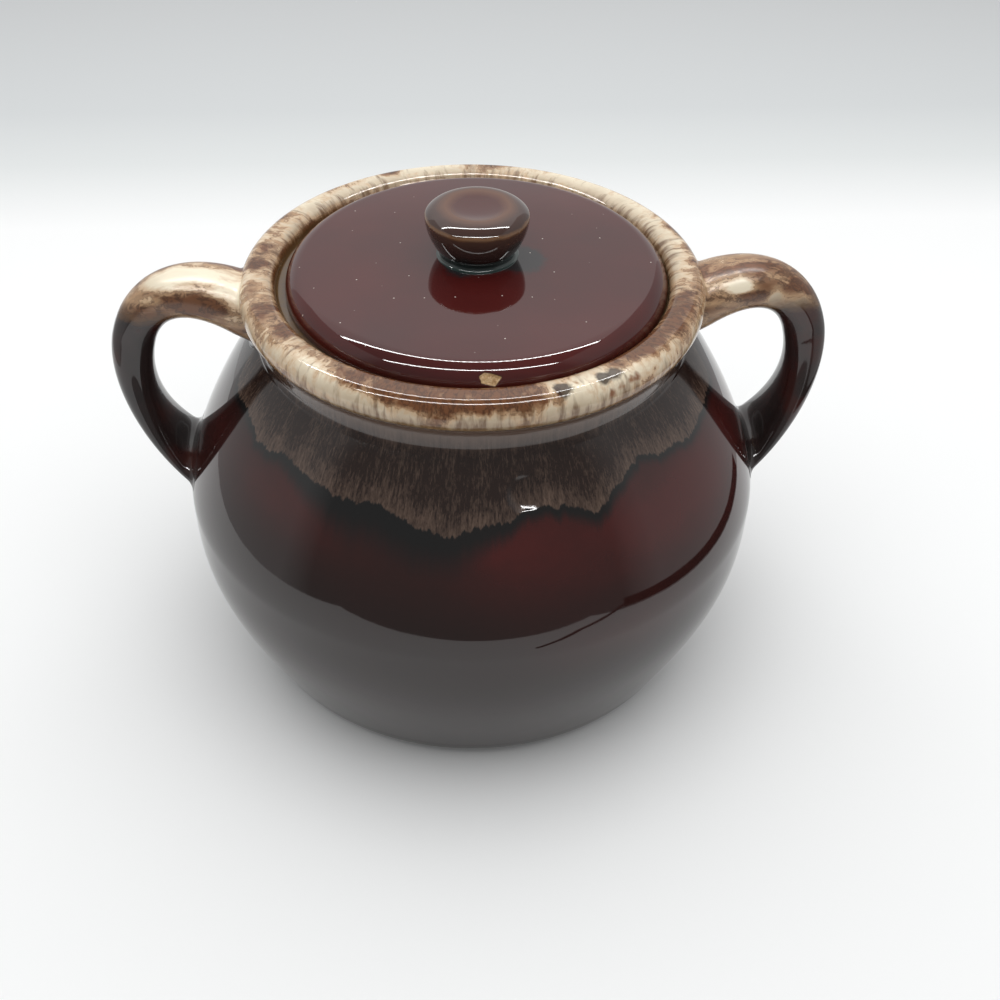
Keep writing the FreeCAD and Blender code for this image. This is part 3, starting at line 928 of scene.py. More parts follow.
class BEANPOT_OT_turn_lid(bpy.types.Operator):
    """Turns the lid with its locating flange"""
    bl_idname = "bean_pot.turn_lid"
    bl_label = "Turn Lid"

    def execute(self, context):
        sizes = context.scene.bean_pot_lid
        first, strokes = lid_strokes(sizes)
        lid = turn("lid", first, strokes, {
            "Facets": LID_FACETS, "Axis X": sizes.shift, "Wobble": 0.25 * MM, "Wobble size": 40 * MM,
            "Seed": 11.0, "Glaze": lid_glaze("brown_gloss_glaze_lid"), "Clay": bare_clay(),
        })
        chip_lid(lid.data, sizes)
        finish_piece(lid, "lid_disc", "lid")
        return {"FINISHED"}


class BEANPOT_OT_turn_knob(bpy.types.Operator):
    """Turns the knob that stands on the lid"""
    bl_idname = "bean_pot.turn_knob"
    bl_label = "Turn Knob"

    def execute(self, context):
        sizes = context.scene.bean_pot_lid
        first, strokes = knob_strokes(sizes)
        knob = turn("knob", first, strokes, {
            "Facets": KNOB_FACETS, "Axis X": sizes.shift, "Wobble": 0.2 * MM, "Wobble size": 12 * MM,
            "Seed": 5.0, "Glaze": knob_glaze("brown_gloss_glaze_knob"), "Clay": bare_clay(),
        })
        finish_piece(knob, "lid_knob", "lid")
        return {"FINISHED"}


# ---------------------------------------------------------------------------------------------
# Glazes
# ---------------------------------------------------------------------------------------------

def per_metre(millimetres):
    """Noise scale whose features are about that large."""
    return 1000.0 / millimetres


def new_material(name):
    """An empty material with its shader and output. Gives the material, its tree and shader."""
    material = bpy.data.materials.new(name)
    material.use_nodes = True
    tree = material.node_tree
    tree.nodes.clear()
    shader = tree.nodes.new("ShaderNodeBsdfPrincipled")
    add(tree, "ShaderNodeOutputMaterial", {"Surface": shader.outputs[0]})
    return material, tree, shader


def glossy_skin(tree, shader, place, dull):
    """Gloss of a fired glaze: even shine with a faint orange peel, duller where dull is 1."""
    node = partial(add, tree)
    rough = node("ShaderNodeTexNoise", {"Vector": place, "Scale": per_metre(20), "Detail": 2.0})
    rough = node("ShaderNodeMapRange", {
        "Value": rough, "From Min": 0.3, "From Max": 0.7, "To Min": 0.03, "To Max": 0.06,
    })
    rough = node("ShaderNodeMath", {0: dull, 1: 0.24, 2: rough}, operation="MULTIPLY_ADD")
    tree.links.new(rough, shader.inputs["Roughness"])
    peel = node("ShaderNodeTexNoise", {"Vector": place, "Scale": per_metre(6), "Detail": 2.0})
    bent = node("ShaderNodeBump", {"Height": peel, "Distance": 0.02 * MM, "Strength": 0.6})
    tree.links.new(bent, shader.inputs["Normal"])
    shader.inputs["IOR"].default_value = 1.6


def flowing_coordinates(tree):
    """Metres round the pot and along its outline, so that patterns run with the glaze."""
    node = partial(add, tree)
    place = node("ShaderNodeTexCoord", output="Object")
    flat = node("ShaderNodeVectorMath", {0: place, 1: (1.0, 1.0, 0.0)}, operation="MULTIPLY")
    ring = node("ShaderNodeVectorMath", {0: flat}, operation="NORMALIZE")
    ring = node("ShaderNodeVectorMath", {0: ring, "Scale": COLLAR_RADIUS * MM}, operation="SCALE")
    run = node("ShaderNodeAttribute", output="Fac", attribute_name="run")
    up = node("ShaderNodeCombineXYZ", {"Z": run})
    return node("ShaderNodeVectorMath", {0: ring, 1: up}, operation="ADD")


def brown_glaze(tree, place):
    """Thick iron brown glaze: deep brown that clouds to red where it is thinner."""
    node = partial(add, tree)
    colours = bpy.context.scene.bean_pot_glaze
    red = node("ShaderNodeAttribute", output="Fac", attribute_name="red")
    # Clouds about 3 cm wide and mottle of about 8 mm keep the red from looking even.
    clouds = node("ShaderNodeTexNoise", {"Vector": place, "Scale": per_metre(30), "Detail": 3.0})
    mottle = node("ShaderNodeTexNoise", {
        "Vector": place, "Scale": per_metre(8), "Detail": 4.0, "Roughness": 0.6,
    })
    share = node("ShaderNodeMath", {0: clouds, 1: 1.1, 2: -0.55}, operation="MULTIPLY_ADD")
    share = node("ShaderNodeMath", {0: mottle, 1: 0.5, 2: share}, operation="MULTIPLY_ADD")
    share = node("ShaderNodeMath", {0: share, 1: 0.75}, operation="ADD")
    share = node("ShaderNodeMath", {0: share, 1: red}, operation="MULTIPLY", use_clamp=True)
    return node("ShaderNodeMix", {0: share, 6: colours.deep, 7: colours.red}, 2, data_type="RGBA")


def fringe_glaze(tree, flow, edge):
    """Fine light hairs on a dark ground where the white glaze ran into the brown."""
    node = partial(add, tree)
    colours = bpy.context.scene.bean_pot_glaze
    # Hairs are about 0.7 mm wide and five times as long; strands bundle them about 5 mm wide.
    fine = node("ShaderNodeVectorMath", {0: flow, 1: (1.0, 1.0, 0.2)}, operation="MULTIPLY")
    hairs = node("ShaderNodeTexNoise", {
        "Vector": fine, "Scale": per_metre(0.7), "Detail": 3.0, "Roughness": 0.85,
    })
    strands = node("ShaderNodeTexNoise", {"Vector": fine, "Scale": per_metre(5), "Detail": 2.0})
    near_edge = node("ShaderNodeMapRange", {
        "Value": edge, "From Min": -9.0, "From Max": -0.2, "To Min": -0.06, "To Max": 0.16,
    })
    value = node("ShaderNodeMath", {0: strands, 1: 0.35, 2: hairs}, operation="MULTIPLY_ADD")
    value = node("ShaderNodeMath", {0: value, 1: near_edge}, operation="ADD")
    light = node("ShaderNodeMapRange", {"Value": value, "From Min": 0.62, "From Max": 1.0})
    return node(
        "ShaderNodeMix", {0: light, 6: colours.fringe, 7: colours.taupe}, 2, data_type="RGBA"
    )


def white_glaze(tree, place, stain_and_painted_light, dip):
    """White glaze over brown: cream where thick, tan and veined brown where the brown came through.

    stain is a share that also carries some painted shade and painted highlight, dip is mm above the glaze's
    lower edge.
    """
    node = partial(add, tree)
    colours = bpy.context.scene.bean_pot_glaze
    warp = node(
        "ShaderNodeTexNoise", {"Vector": place, "Scale": per_metre(6), "Detail": 3.0}, "Color"
    )
    warp = node("ShaderNodeVectorMath", {0: warp, 1: (0.5, 0.5, 0.5)}, operation="SUBTRACT")
    bent = node(
        "ShaderNodeVectorMath", {0: warp, 1: (0.005, 0.005, 0.005), 2: place}, operation="MULTIPLY_ADD"
    )
    # Ragged borders: lobes about 7 mm wide with teeth of 1 to 2 mm.
    lobed = node("ShaderNodeTexNoise", {"Vector": bent, "Scale": per_metre(7), "Detail": 3.0})
    teeth = node("ShaderNodeTexNoise", {
        "Vector": bent, "Scale": per_metre(1.8), "Detail": 3.0, "Roughness": 0.65,
    })
    # The glaze ran, so the brown in it is combed into wavy strokes about 2 mm apart.
    combed = node("ShaderNodeVectorMath", {0: bent, 1: (1.0, 1.0, 0.32)}, operation="MULTIPLY")
    strokes = node("ShaderNodeTexNoise", {
        "Vector": combed, "Scale": per_metre(2.4), "Detail": 4.0, "Roughness": 0.7,
    })
    value = node("ShaderNodeMath", {0: lobed, 1: 1.0, 2: stain_and_painted_light}, operation="MULTIPLY_ADD")
    value = node("ShaderNodeMath", {0: teeth, 1: 0.3, 2: value}, operation="MULTIPLY_ADD")
    value = node("ShaderNodeMath", {0: strokes, 1: 0.9, 2: value}, operation="MULTIPLY_ADD")
    value = node("ShaderNodeMath", {0: value, 1: 1.1}, operation="SUBTRACT")
    veins = node("ShaderNodeMath", {0: strokes, 1: 0.5}, operation="SUBTRACT")
    veins = node("ShaderNodeMath", {0: veins}, operation="ABSOLUTE")
    veins = node("ShaderNodeMapRange", {
        "Value": veins, "From Min": 0.0, "From Max": 0.06, "To Min": 0.9, "To Max": 0.0,
    })
    tone = node("ShaderNodeMath", {0: stain_and_painted_light, 1: 0.35, 2: lobed}, operation="MULTIPLY_ADD")
    tone = node("ShaderNodeMapRange", {"Value": tone, "From Min": 0.48, "From Max": 0.78})
    brown = node("ShaderNodeMix", {0: tone, 6: colours.tan, 7: colours.brown}, 2, data_type="RGBA")
    brown = node("ShaderNodeMix", {0: veins, 6: brown, 7: colours.vein}, 2, data_type="RGBA")
    thick = node("ShaderNodeMapRange", {"Value": dip, "From Min": 5.0, "From Max": 13.0})
    thick = node("ShaderNodeMath", {0: lobed, 1: 0.8, 2: thick}, operation="MULTIPLY_ADD")
    thick = node("ShaderNodeMath", {0: thick, 1: 0.35}, operation="SUBTRACT", use_clamp=True)
    cream = node("ShaderNodeMix", {0: thick, 6: colours.putty, 7: colours.cream}, 2, data_type="RGBA")
    # The brown bleeds into the cream first as tan, and a thin dark line runs round the brown.
    bleed = node("ShaderNodeMapRange", {"Value": value, "From Min": 0.1, "From Max": 0.45})
    cream = node("ShaderNodeMix", {0: bleed, 6: cream, 7: colours.tan}, 2, data_type="RGBA")
    cover = node("ShaderNodeMapRange", {"Value": value, "From Min": 0.34, "From Max": 0.6})
    mixed = node("ShaderNodeMix", {0: cover, 6: cream, 7: brown}, 2, data_type="RGBA")
    line = node("ShaderNodeMath", {0: value, 1: 0.42, 2: 0.02}, operation="COMPARE")
    line = node("ShaderNodeMath", {0: line, 1: teeth}, operation="MULTIPLY")
    return node("ShaderNodeMix", {0: line, 6: mixed, 7: colours.vein}, 2, data_type="RGBA")


def drip_glaze(name):
    """Brown drip glaze on stoneware, fired glossy: iron brown under white glaze that ran, with a painted
    reflection in the film below the collar.
    """
    colours = bpy.context.scene.bean_pot_glaze
    material, tree, shader = new_material(name)
    node = partial(add, tree)
    place = node("ShaderNodeTexCoord", output="Object")
    flow = flowing_coordinates(tree)
    dip, fringe, halo, stain_and_painted_light = (
        node("ShaderNodeAttribute", output="Fac", attribute_name=key)
        for key in ("dip", "fringe", "halo", "stain_and_painted_light")
    )
    base = brown_glaze(tree, place)
    # The fringe's edge is ragged: tongues about 9 mm wide, split into teeth of 1 to 2 mm.
    streaks = node("ShaderNodeVectorMath", {0: flow, 1: (1.0, 1.0, 0.04)}, operation="MULTIPLY")
    teeth = node("ShaderNodeTexNoise", {
        "Vector": streaks, "Scale": per_metre(1.6), "Detail": 3.0, "Roughness": 0.7,
    })
    tongues = node("ShaderNodeTexNoise", {"Vector": streaks, "Scale": per_metre(9), "Detail": 2.0})
    edge = node("ShaderNodeMath", {0: teeth, 1: 5.0, 2: fringe}, operation="MULTIPLY_ADD")
    edge = node("ShaderNodeMath", {0: tongues, 1: 6.0, 2: edge}, operation="MULTIPLY_ADD")
    edge = node("ShaderNodeMath", {0: edge, 1: 5.5}, operation="SUBTRACT")
    # Below the fringe the glaze is thick with iron and nearly black.
    apart = node("ShaderNodeMath", {0: edge, 1: halo}, operation="DIVIDE")
    dark = node("ShaderNodeMapRange", {
        "Value": apart, "From Min": 0.25, "From Max": 1.3, "To Min": 0.95, "To Max": 0.0,
    }, interpolation_type="SMOOTHSTEP")
    base = node("ShaderNodeMix", {0: dark, 6: base, 7: colours.halo}, 2, data_type="RGBA")
    inside = node("ShaderNodeMapRange", {
        "Value": edge, "From Min": -0.3, "From Max": 0.3, "To Min": 1.0, "To Max": 0.0,
    })
    hairs = fringe_glaze(tree, flow, edge)
    under = node("ShaderNodeMix", {0: inside, 6: base, 7: hairs}, 2, data_type="RGBA")
    # Between the crease and the collar the white glaze is a thin film that ends in streaks; its grey-brown
    # colour is partly a painted reflection of the floor.
    film_and_reflection = node("ShaderNodeMath", {0: teeth, 1: 7.0, 2: dip}, operation="MULTIPLY_ADD")
    film_and_reflection = node("ShaderNodeMapRange", {"Value": film_and_reflection, "From Min": -7.0, "From Max": -1.5})
    under = node("ShaderNodeMix", {0: film_and_reflection, 6: under, 7: "#5a483e"}, 2, data_type="RGBA")
    white = white_glaze(tree, flow, stain_and_painted_light, dip)
    # Brown drips run down the collar's side and end in an olive edge.
    drips = node("ShaderNodeVectorMath", {0: flow, 1: (1.0, 1.0, 0.22)}, operation="MULTIPLY")
    drips = node("ShaderNodeTexNoise", {
        "Vector": drips, "Scale": per_metre(2.2), "Detail": 3.0, "Roughness": 0.6,
    })
    low = node("ShaderNodeMapRange", {
        "Value": dip, "From Min": 0.0, "From Max": 10.0, "To Min": 0.2, "To Max": -0.1,
    })
    drip = node("ShaderNodeMath", {0: drips, 1: low}, operation="ADD")
    drip = node("ShaderNodeMapRange", {
        "Value": drip, "From Min": 0.47, "From Max": 0.68, "To Min": 0.0, "To Max": 0.85,
    })
    white = node("ShaderNodeMix", {0: drip, 6: white, 7: "#67482c"}, 2, data_type="RGBA")
    height = node("ShaderNodeMath", {0: drips, 1: 5.0, 2: dip}, operation="MULTIPLY_ADD")
    height = node("ShaderNodeMath", {0: height, 1: 2.5}, operation="SUBTRACT")
    olive = node("ShaderNodeMapRange", {
        "Value": height, "From Min": -0.5, "From Max": 4.5, "To Min": 1.0, "To Max": 0.0,
    })
    white = node("ShaderNodeMix", {0: olive, 6: white, 7: "#6b5638"}, 2, data_type="RGBA")
    # Drops of darker glaze that fell on the rim before it was fired.
    warp = node(
        "ShaderNodeTexNoise", {"Vector": place, "Scale": per_metre(2.5), "Detail": 2.0}, "Color"
    )
    bent = node(
        "ShaderNodeVectorMath", {0: warp, 1: (0.003, 0.003, 0.003), 2: place}, operation="MULTIPLY_ADD"
    )
    bent = node(
        "ShaderNodeVectorMath", {0: bent, 1: (0.0015, 0.0015, 0.0015)}, operation="SUBTRACT"
    )
    for spot, radius, code in DROPS:
        middle = tuple(value * MM for value in spot)
        away = node("ShaderNodeVectorMath", {0: bent, 1: middle}, "Value", operation="DISTANCE")
        drop = node("ShaderNodeMapRange", {
            "Value": away, "From Min": (radius - 0.8) * MM, "From Max": (radius + 0.4) * MM,
            "To Min": 0.88, "To Max": 0.0,
        })
        white = node("ShaderNodeMix", {0: drop, 6: white, 7: code}, 2, data_type="RGBA")
    above = node("ShaderNodeMapRange", {"Value": height, "From Min": -1.8, "From Max": 1.4})
    final = node("ShaderNodeMix", {0: above, 6: under, 7: white}, 2, data_type="RGBA")
    tree.links.new(final, shader.inputs["Base Color"])
    dull = node("ShaderNodeMath", {0: inside, 1: 0.25}, operation="MULTIPLY")
    glossy_skin(tree, shader, place, dull)
    return material


def handle_glaze(name):
    """Drip glaze of the handles: satin cream and tan on top, with a painted highlight in the cream of each
    top, glossy and nearly black below.
    """
    material, tree, shader = new_material(name)
    node = partial(add, tree)
    place = node("ShaderNodeTexCoord", output="Object")
    dip = node("ShaderNodeAttribute", output="Fac", attribute_name="dip")
    stain_and_painted_light = node("ShaderNodeAttribute", output="Fac", attribute_name="stain_and_painted_light")
    # The white glaze was drawn out along the strap, so its grain is three times as long as wide.
    drawn = node("ShaderNodeVectorMath", {0: place, 1: (0.35, 1.0, 1.0)}, operation="MULTIPLY")
    white = white_glaze(tree, drawn, stain_and_painted_light, dip)
    smear = node("ShaderNodeTexNoise", {
        "Vector": drawn, "Scale": per_metre(5), "Detail": 4.0, "Roughness": 0.65,
    })
    height = node("ShaderNodeMath", {0: smear, 1: 9.0, 2: dip}, operation="MULTIPLY_ADD")
    height = node("ShaderNodeMath", {0: height, 1: 4.5}, operation="SUBTRACT")
    tint = node("ShaderNodeTexNoise", {"Vector": place, "Scale": per_metre(14), "Detail": 3.0})
    dark = node("ShaderNodeValToRGB", {0: tint}, stops=(
        (0.35, "#231e1d"), (0.52, "#2d2322"), (0.66, "#3a211e"),
    ))
    edge = node("ShaderNodeMapRange", {
        "Value": height, "From Min": 0.5, "From Max": 5.5, "To Min": 0.9, "To Max": 0.0,
    }, interpolation_type="SMOOTHSTEP")
    white = node("ShaderNodeMix", {0: edge, 6: white, 7: "#5d422a"}, 2, data_type="RGBA")
    above = node("ShaderNodeMapRange", {
        "Value": height, "From Min": -2.5, "From Max": 1.5,
    }, interpolation_type="SMOOTHSTEP")
    final = node("ShaderNodeMix", {0: above, 6: dark, 7: white}, 2, data_type="RGBA")
    tree.links.new(final, shader.inputs["Base Color"])
    glossy_skin(tree, shader, place, above)
    return material


def lid_glaze(name):
    """Brown gloss glaze of the lid: iron red, a blue-black bloom by the knob that is partly a painted
    shadow, dust and a chip.
    """
    colours = bpy.context.scene.bean_pot_glaze
    material, tree, shader = new_material(name)
    node = partial(add, tree)
    place = node("ShaderNodeTexCoord", output="Object")
    clouds = node("ShaderNodeTexNoise", {"Vector": place, "Scale": per_metre(45), "Detail": 4.0})
    clouds = node("ShaderNodeMapRange", {"Value": clouds, "From Min": 0.35, "From Max": 0.65})
    base = node("ShaderNodeMix", {0: clouds, 6: "#3e1615", 7: colours.lid}, 2, data_type="RGBA")
    # The bloom's edge is speckled, with grains about 2.5 mm wide.
    grain = node("ShaderNodeTexNoise", {
        "Vector": place, "Scale": per_metre(2.5), "Detail": 4.0, "Roughness": 0.7,
    })
    # Painted shadow: the first bloom, right of the knob, also darkens the lid where the knob's shadow falls.
    for spot, radius in BLOOMS_AND_SHADOW:
        middle = tuple(value * MM for value in spot)
        away = node("ShaderNodeVectorMath", {0: place, 1: middle}, "Value", operation="DISTANCE")
        away = node("ShaderNodeMath", {0: grain, 1: 0.006, 2: away}, operation="MULTIPLY_ADD")
        bloom_and_shadow = node("ShaderNodeMapRange", {
            "Value": away, "From Min": (radius + 1.5) * MM, "From Max": (radius + 4.0) * MM,
            "To Min": 0.85, "To Max": 0.0,
        })
        base = node("ShaderNodeMix", {0: bloom_and_shadow, 6: base, 7: "#23282a"}, 2, data_type="RGBA")
    # Dust grains, 0.4 mm across and a centimetre or so apart, not all of them bright.
    dust = node(
        "ShaderNodeTexVoronoi", {"Vector": place, "Scale": per_metre(11)}, "Distance",
        voronoi_dimensions="2D",
    )
    tone = node(
        "ShaderNodeTexVoronoi", {"Vector": place, "Scale": per_metre(11)}, "Color",
        voronoi_dimensions="2D",
    )
    dust = node("ShaderNodeMapRange", {
        "Value": dust, "From Min": 0.012, "From Max": 0.024, "To Min": 1.0, "To Max": 0.0,
    })
    tone = node("ShaderNodeMapRange", {"Value": tone, "From Min": 0.45, "From Max": 0.8})
    dust = node("ShaderNodeMath", {0: dust, 1: tone}, operation="MULTIPLY")
    base = node("ShaderNodeMix", {0: dust, 6: base, 7: "#cfc6bd"}, 2, data_type="RGBA")
    # The chip shows sandy clay, darker where its edge is thin glaze.
    chip = node("ShaderNodeAttribute", output="Fac", attribute_name="chip")
    sand = node("ShaderNodeTexNoise", {
        "Vector": place, "Scale": per_metre(0.7), "Detail": 3.0, "Roughness": 0.7,
    })
    clay = node("ShaderNodeValToRGB", {0: sand}, stops=(
        (0.36, "#a07a4c"), (0.52, "#c3a06e"), (0.68, "#d8bf98"),
    ))
    rim = node("ShaderNodeMapRange", {"Value": chip, "From Min": 0.05, "From Max": 0.2})
    core = node("ShaderNodeMapRange", {"Value": chip, "From Min": 0.2, "From Max": 0.45})
    base = node("ShaderNodeMix", {0: rim, 6: base, 7: "#4a3420"}, 2, data_type="RGBA")
    base = node("ShaderNodeMix", {0: core, 6: base, 7: clay}, 2, data_type="RGBA")
    tree.links.new(base, shader.inputs["Base Color"])
    dull = node("ShaderNodeMath", {0: core, 1: 3.0}, operation="MULTIPLY")
    glossy_skin(tree, shader, place, dull)
    return material


def knob_glaze(name):
    """Brown gloss glaze of the knob: golden on its edge, partly thin glaze and partly a painted reflection
    of the front lamp strip, dark where it pooled.
    """
    material, tree, shader = new_material(name)
    node = partial(add, tree)
    place = node("ShaderNodeTexCoord", output="Object")
    run = node("ShaderNodeAttribute", output="Fac", attribute_name="run")
    drift = node("ShaderNodeTexNoise", {"Vector": place, "Scale": per_metre(5), "Detail": 3.0})
    # Metres along the outline, shifted a little so that no band is a perfect ring.
    share = node("ShaderNodeMath", {0: drift, 1: 0.0016, 2: run}, operation="MULTIPLY_ADD")
    share = node("ShaderNodeMapRange", {"Value": share, "From Min": 0.0146, "From Max": 0.0466})
    # The narrow golden band at 0.445 is partly thin glaze on the knob's edge and partly a painted reflection
    # of the front lamp strip.
    base = node("ShaderNodeValToRGB", {0: share}, stops=(
        (0.0, "#33413f"), (0.05, "#1c2121"), (0.14, "#211c1a"), (0.28, "#382b27"), (0.41, "#46332b"),
        (0.445, "#765437"), (0.47, "#3f2d28"), (0.57, "#46302a"), (0.67, "#64412f"), (0.76, "#4a211c"),
        (1.0, "#4a1d1a"),
    ))
    tree.links.new(base, shader.inputs["Base Color"])
    glossy_skin(tree, shader, place, 0.0)
    return material


def bare_clay():
    """Unglazed stoneware, wiped clean before firing: matt, sandy and slightly stained."""
    made = bpy.data.materials.get("bare_stoneware_clay")
    if made:
        return made
    colours = bpy.context.scene.bean_pot_glaze
    material, tree, shader = new_material("bare_stoneware_clay")
    node = partial(add, tree)
    place = node("ShaderNodeTexCoord", output="Object")
    # Sand grains just under a millimetre, over stains two centimetres wide.
    grit = node("ShaderNodeTexNoise", {
        "Vector": place, "Scale": per_metre(0.8), "Detail": 4.0, "Roughness": 0.7,
    })
    grains = node("ShaderNodeMapRange", {"Value": grit, "From Min": 0.35, "From Max": 0.55})
    shade = node("ShaderNodeMix", {0: grains, 6: "#8a6642", 7: colours.clay}, 2, data_type="RGBA")
    stains = node("ShaderNodeTexNoise", {"Vector": place, "Scale": per_metre(20), "Detail": 2.0})
    stains = node("ShaderNodeMapRange", {"Value": stains, "From Min": 0.45, "From Max": 0.75})
    shade = node("ShaderNodeMix", {0: stains, 6: shade, 7: "#8d6f52"}, 2, data_type="RGBA")
    tree.links.new(shade, shader.inputs["Base Color"])
    shader.inputs["Roughness"].default_value = 0.85
    bent = node("ShaderNodeBump", {"Height": grit, "Distance": 0.15 * MM})
    tree.links.new(bent, shader.inputs["Normal"])
    return material


# ---------------------------------------------------------------------------------------------
# Stage: floor, lamps, world and camera
# ---------------------------------------------------------------------------------------------

CAMERA_PLACE = (-0.0152, -0.3622, 0.3560)
CAMERA_PITCH = math.radians(40.568)
CAMERA_YAW = math.radians(3.940)
CAMERA_ROLL = math.radians(1.145)
CAMERA_LENS = 48.6
TENT_LEFT, TENT_RIGHT = -0.350, 0.245
TENT_FRONT, TENT_BACK = -0.190, 0.300
TENT_TOP = 0.450
MAT_FRONT = -0.345
CEILING_FRONT = 0.075
# The dark seam where the floor mat lies against the tent, as its corners.
MAT_SEAM = (
    (0.060, -0.218), (0.150, -0.267), (0.285, -0.272), (0.285, -0.254), (0.150, -0.250),
    (0.060, -0.209),
)
STRIP_WIDTH = 0.020
STRIP_PLACES = (0.060, -0.201)
STRIP_HEIGHT = 0.456
STRIP_PITCH = 0.0083
ROOM_GLOW = 0.2
SEAM_GLOW = 0.02
SEAM_HEIGHT = 0.0005
# The dark sill at the foot of the tent's right wall, as (y, z) corners, and its gap to the wall.
TENT_SILL = ((-0.235, 0.004), (0.090, 0.002), (0.090, 0.016), (-0.235, 0.026))
SILL_GAP = 0.001
# Half the depth over which the tent's side walls fade out in front.
TENT_FADE = 0.045
# Height at which the tent's back starts to brighten, its glow there, and the glow that it has at the
# top and the ceiling has all over, as shares of the side walls' glow.
BACK_START = 0.26
BACK_GLOW = 1.5
CEILING_GLOW = 2.25
FLOOR_REACH = 3.0
# The lamp above: its size and place in metres, and its watts on a square metre at a glow of 1.
LAMP_SIZE = 1.6
LAMP_PLACE = (0.0, 0.2, 1.0)
LAMP_POWER = 4


def reflector(name, corners, axis, fades, pitch=0.0):
    """A card of the light tent, seen in reflections only.

    fades is two (place, glow) pairs along the axis. pitch is the distance between the beads of a lamp strip.
    """
    mesh = bpy.data.meshes.new(name)
    mesh.from_pydata(corners, [], [tuple(range(len(corners)))])
    material = bpy.data.materials.new(name)
    material.use_nodes = True
    tree = material.node_tree
    tree.nodes.clear()
    node = partial(add, tree)
    place = node("ShaderNodeTexCoord", output="Object")
    along = node("ShaderNodeSeparateXYZ", {0: place}, axis)
    (start, low), (end, high) = fades
    glow = node("ShaderNodeMapRange", {
        "Value": along, "From Min": start, "From Max": end, "To Min": low, "To Max": high,
    })
    if pitch:
        bead = node("ShaderNodeMath", {0: along, 1: pitch / 2}, operation="PINGPONG")
        bead = node("ShaderNodeMapRange", {
            "Value": bead, "From Min": 0.1 * pitch, "From Max": 0.4 * pitch, "To Min": 0.15,
        })
        glow = node("ShaderNodeMath", {0: glow, 1: bead}, operation="MULTIPLY")
    shine = node("ShaderNodeEmission", {"Strength": glow})
    node("ShaderNodeOutputMaterial", {"Surface": shine})
    mesh.materials.append(material)
    card = bpy.data.objects.new(name, mesh)
    for kind in ("camera", "diffuse", "shadow", "transmission", "volume_scatter"):
        setattr(card, "visible_" + kind, False)
    bpy.context.scene.collection.objects.link(card)


def floor_material():
    """Pale sweep: white near the pot, painted shade making it light grey behind, and dim outside the tent
    for gloss only.
    """
    material = bpy.data.materials.new("pale_sweep")
    material.use_nodes = True
    tree = material.node_tree
    tree.nodes.clear()
    node = partial(add, tree)
    place = node("ShaderNodeTexCoord", output="Object")
    depth = node("ShaderNodeSeparateXYZ", {0: place}, "Y")
    share = node("ShaderNodeMapRange", {"Value": depth, "From Min": 0.2, "From Max": 0.6})
    # Painted shade: the sweep greys further back, where less light falls on it.
    shade = node("ShaderNodeValToRGB", {0: share}, stops=(
        (0.0, "#f6f7f7"), (0.2, "#f3f4f4"), (0.38, "#dcdfdf"), (0.55, "#d0d3d4"), (1.0, "#c7c9ca"),
    ))
    pale = node("ShaderNodeBsdfDiffuse", {"Color": shade})
    dim = node("ShaderNodeEmission", {"Strength": ROOM_GLOW})
    past = node("ShaderNodeMath", {0: depth, 1: MAT_FRONT}, operation="LESS_THAN")
    across = node("ShaderNodeSeparateXYZ", {0: place}, "X")
    for side, way in ((TENT_LEFT, "LESS_THAN"), (TENT_RIGHT, "GREATER_THAN")):
        beside = node("ShaderNodeMath", {0: across, 1: side}, operation=way)
        past = node("ShaderNodeMath", {0: past, 1: beside}, operation="MAXIMUM")
    glossy = node("ShaderNodeLightPath", output="Is Glossy Ray")
    hidden = node("ShaderNodeMath", {0: past, 1: glossy}, operation="MULTIPLY")
    mixed = node("ShaderNodeMixShader", {0: hidden, 1: pale, 2: dim})
    node("ShaderNodeOutputMaterial", {"Surface": mixed})
    return material


def light_world(fill):
    """Even fill for matt surfaces, a dim room for reflections and pale grey for the camera."""
    world = bpy.data.worlds.new("studio")
    world.use_nodes = True
    tree = world.node_tree
    tree.nodes.clear()
    node = partial(add, tree)
    rays = tree.nodes.new("ShaderNodeLightPath").outputs
    glow = node(
        "ShaderNodeMix", {0: rays["Is Glossy Ray"], 2: fill, 3: ROOM_GLOW}, data_type="FLOAT"
    )
    glow = node("ShaderNodeMix", {0: rays["Is Camera Ray"], 2: glow, 3: 0.6}, data_type="FLOAT")
    shine = node("ShaderNodeBackground", {"Color": (1.0, 1.0, 1.0), "Strength": glow})
    node("ShaderNodeOutputWorld", {"Surface": shine})
    bpy.context.scene.world = world


def place_camera():
    """A camera that looks down on the pot from the front."""
    data = bpy.data.cameras.new("camera")
    data.sensor_width = 36.0
    data.lens = CAMERA_LENS
    data.clip_start = 0.01
    camera = bpy.data.objects.new("camera", data)
    ahead = np.array([
        math.sin(CAMERA_YAW) * math.cos(CAMERA_PITCH),
        math.cos(CAMERA_YAW) * math.cos(CAMERA_PITCH), -math.sin(CAMERA_PITCH),
    ])
    across = np.array([math.cos(CAMERA_YAW), -math.sin(CAMERA_YAW), 0.0])
    upright = np.cross(across, ahead)
    right = math.cos(CAMERA_ROLL) * across + math.sin(CAMERA_ROLL) * upright
    up = math.cos(CAMERA_ROLL) * upright - math.sin(CAMERA_ROLL) * across
    columns = np.column_stack([right, up, -ahead, CAMERA_PLACE])
    camera.matrix_world = Matrix(columns.tolist()).to_4x4()
    bpy.context.scene.collection.objects.link(camera)
    bpy.context.scene.camera = camera


def hang_lamp(glow):
    """The soft light above the pot, which matt surfaces see and reflections don't."""
    lamp = bpy.data.lights.new("overhead", "AREA")
    lamp.shape = "SQUARE"
    lamp.size = LAMP_SIZE
    lamp.energy = glow * LAMP_POWER * lamp.size ** 2
    overhead = bpy.data.objects.new("overhead", lamp)
    overhead.location = LAMP_PLACE
    overhead.visible_camera = False
    overhead.visible_glossy = False
    bpy.context.scene.collection.objects.link(overhead)


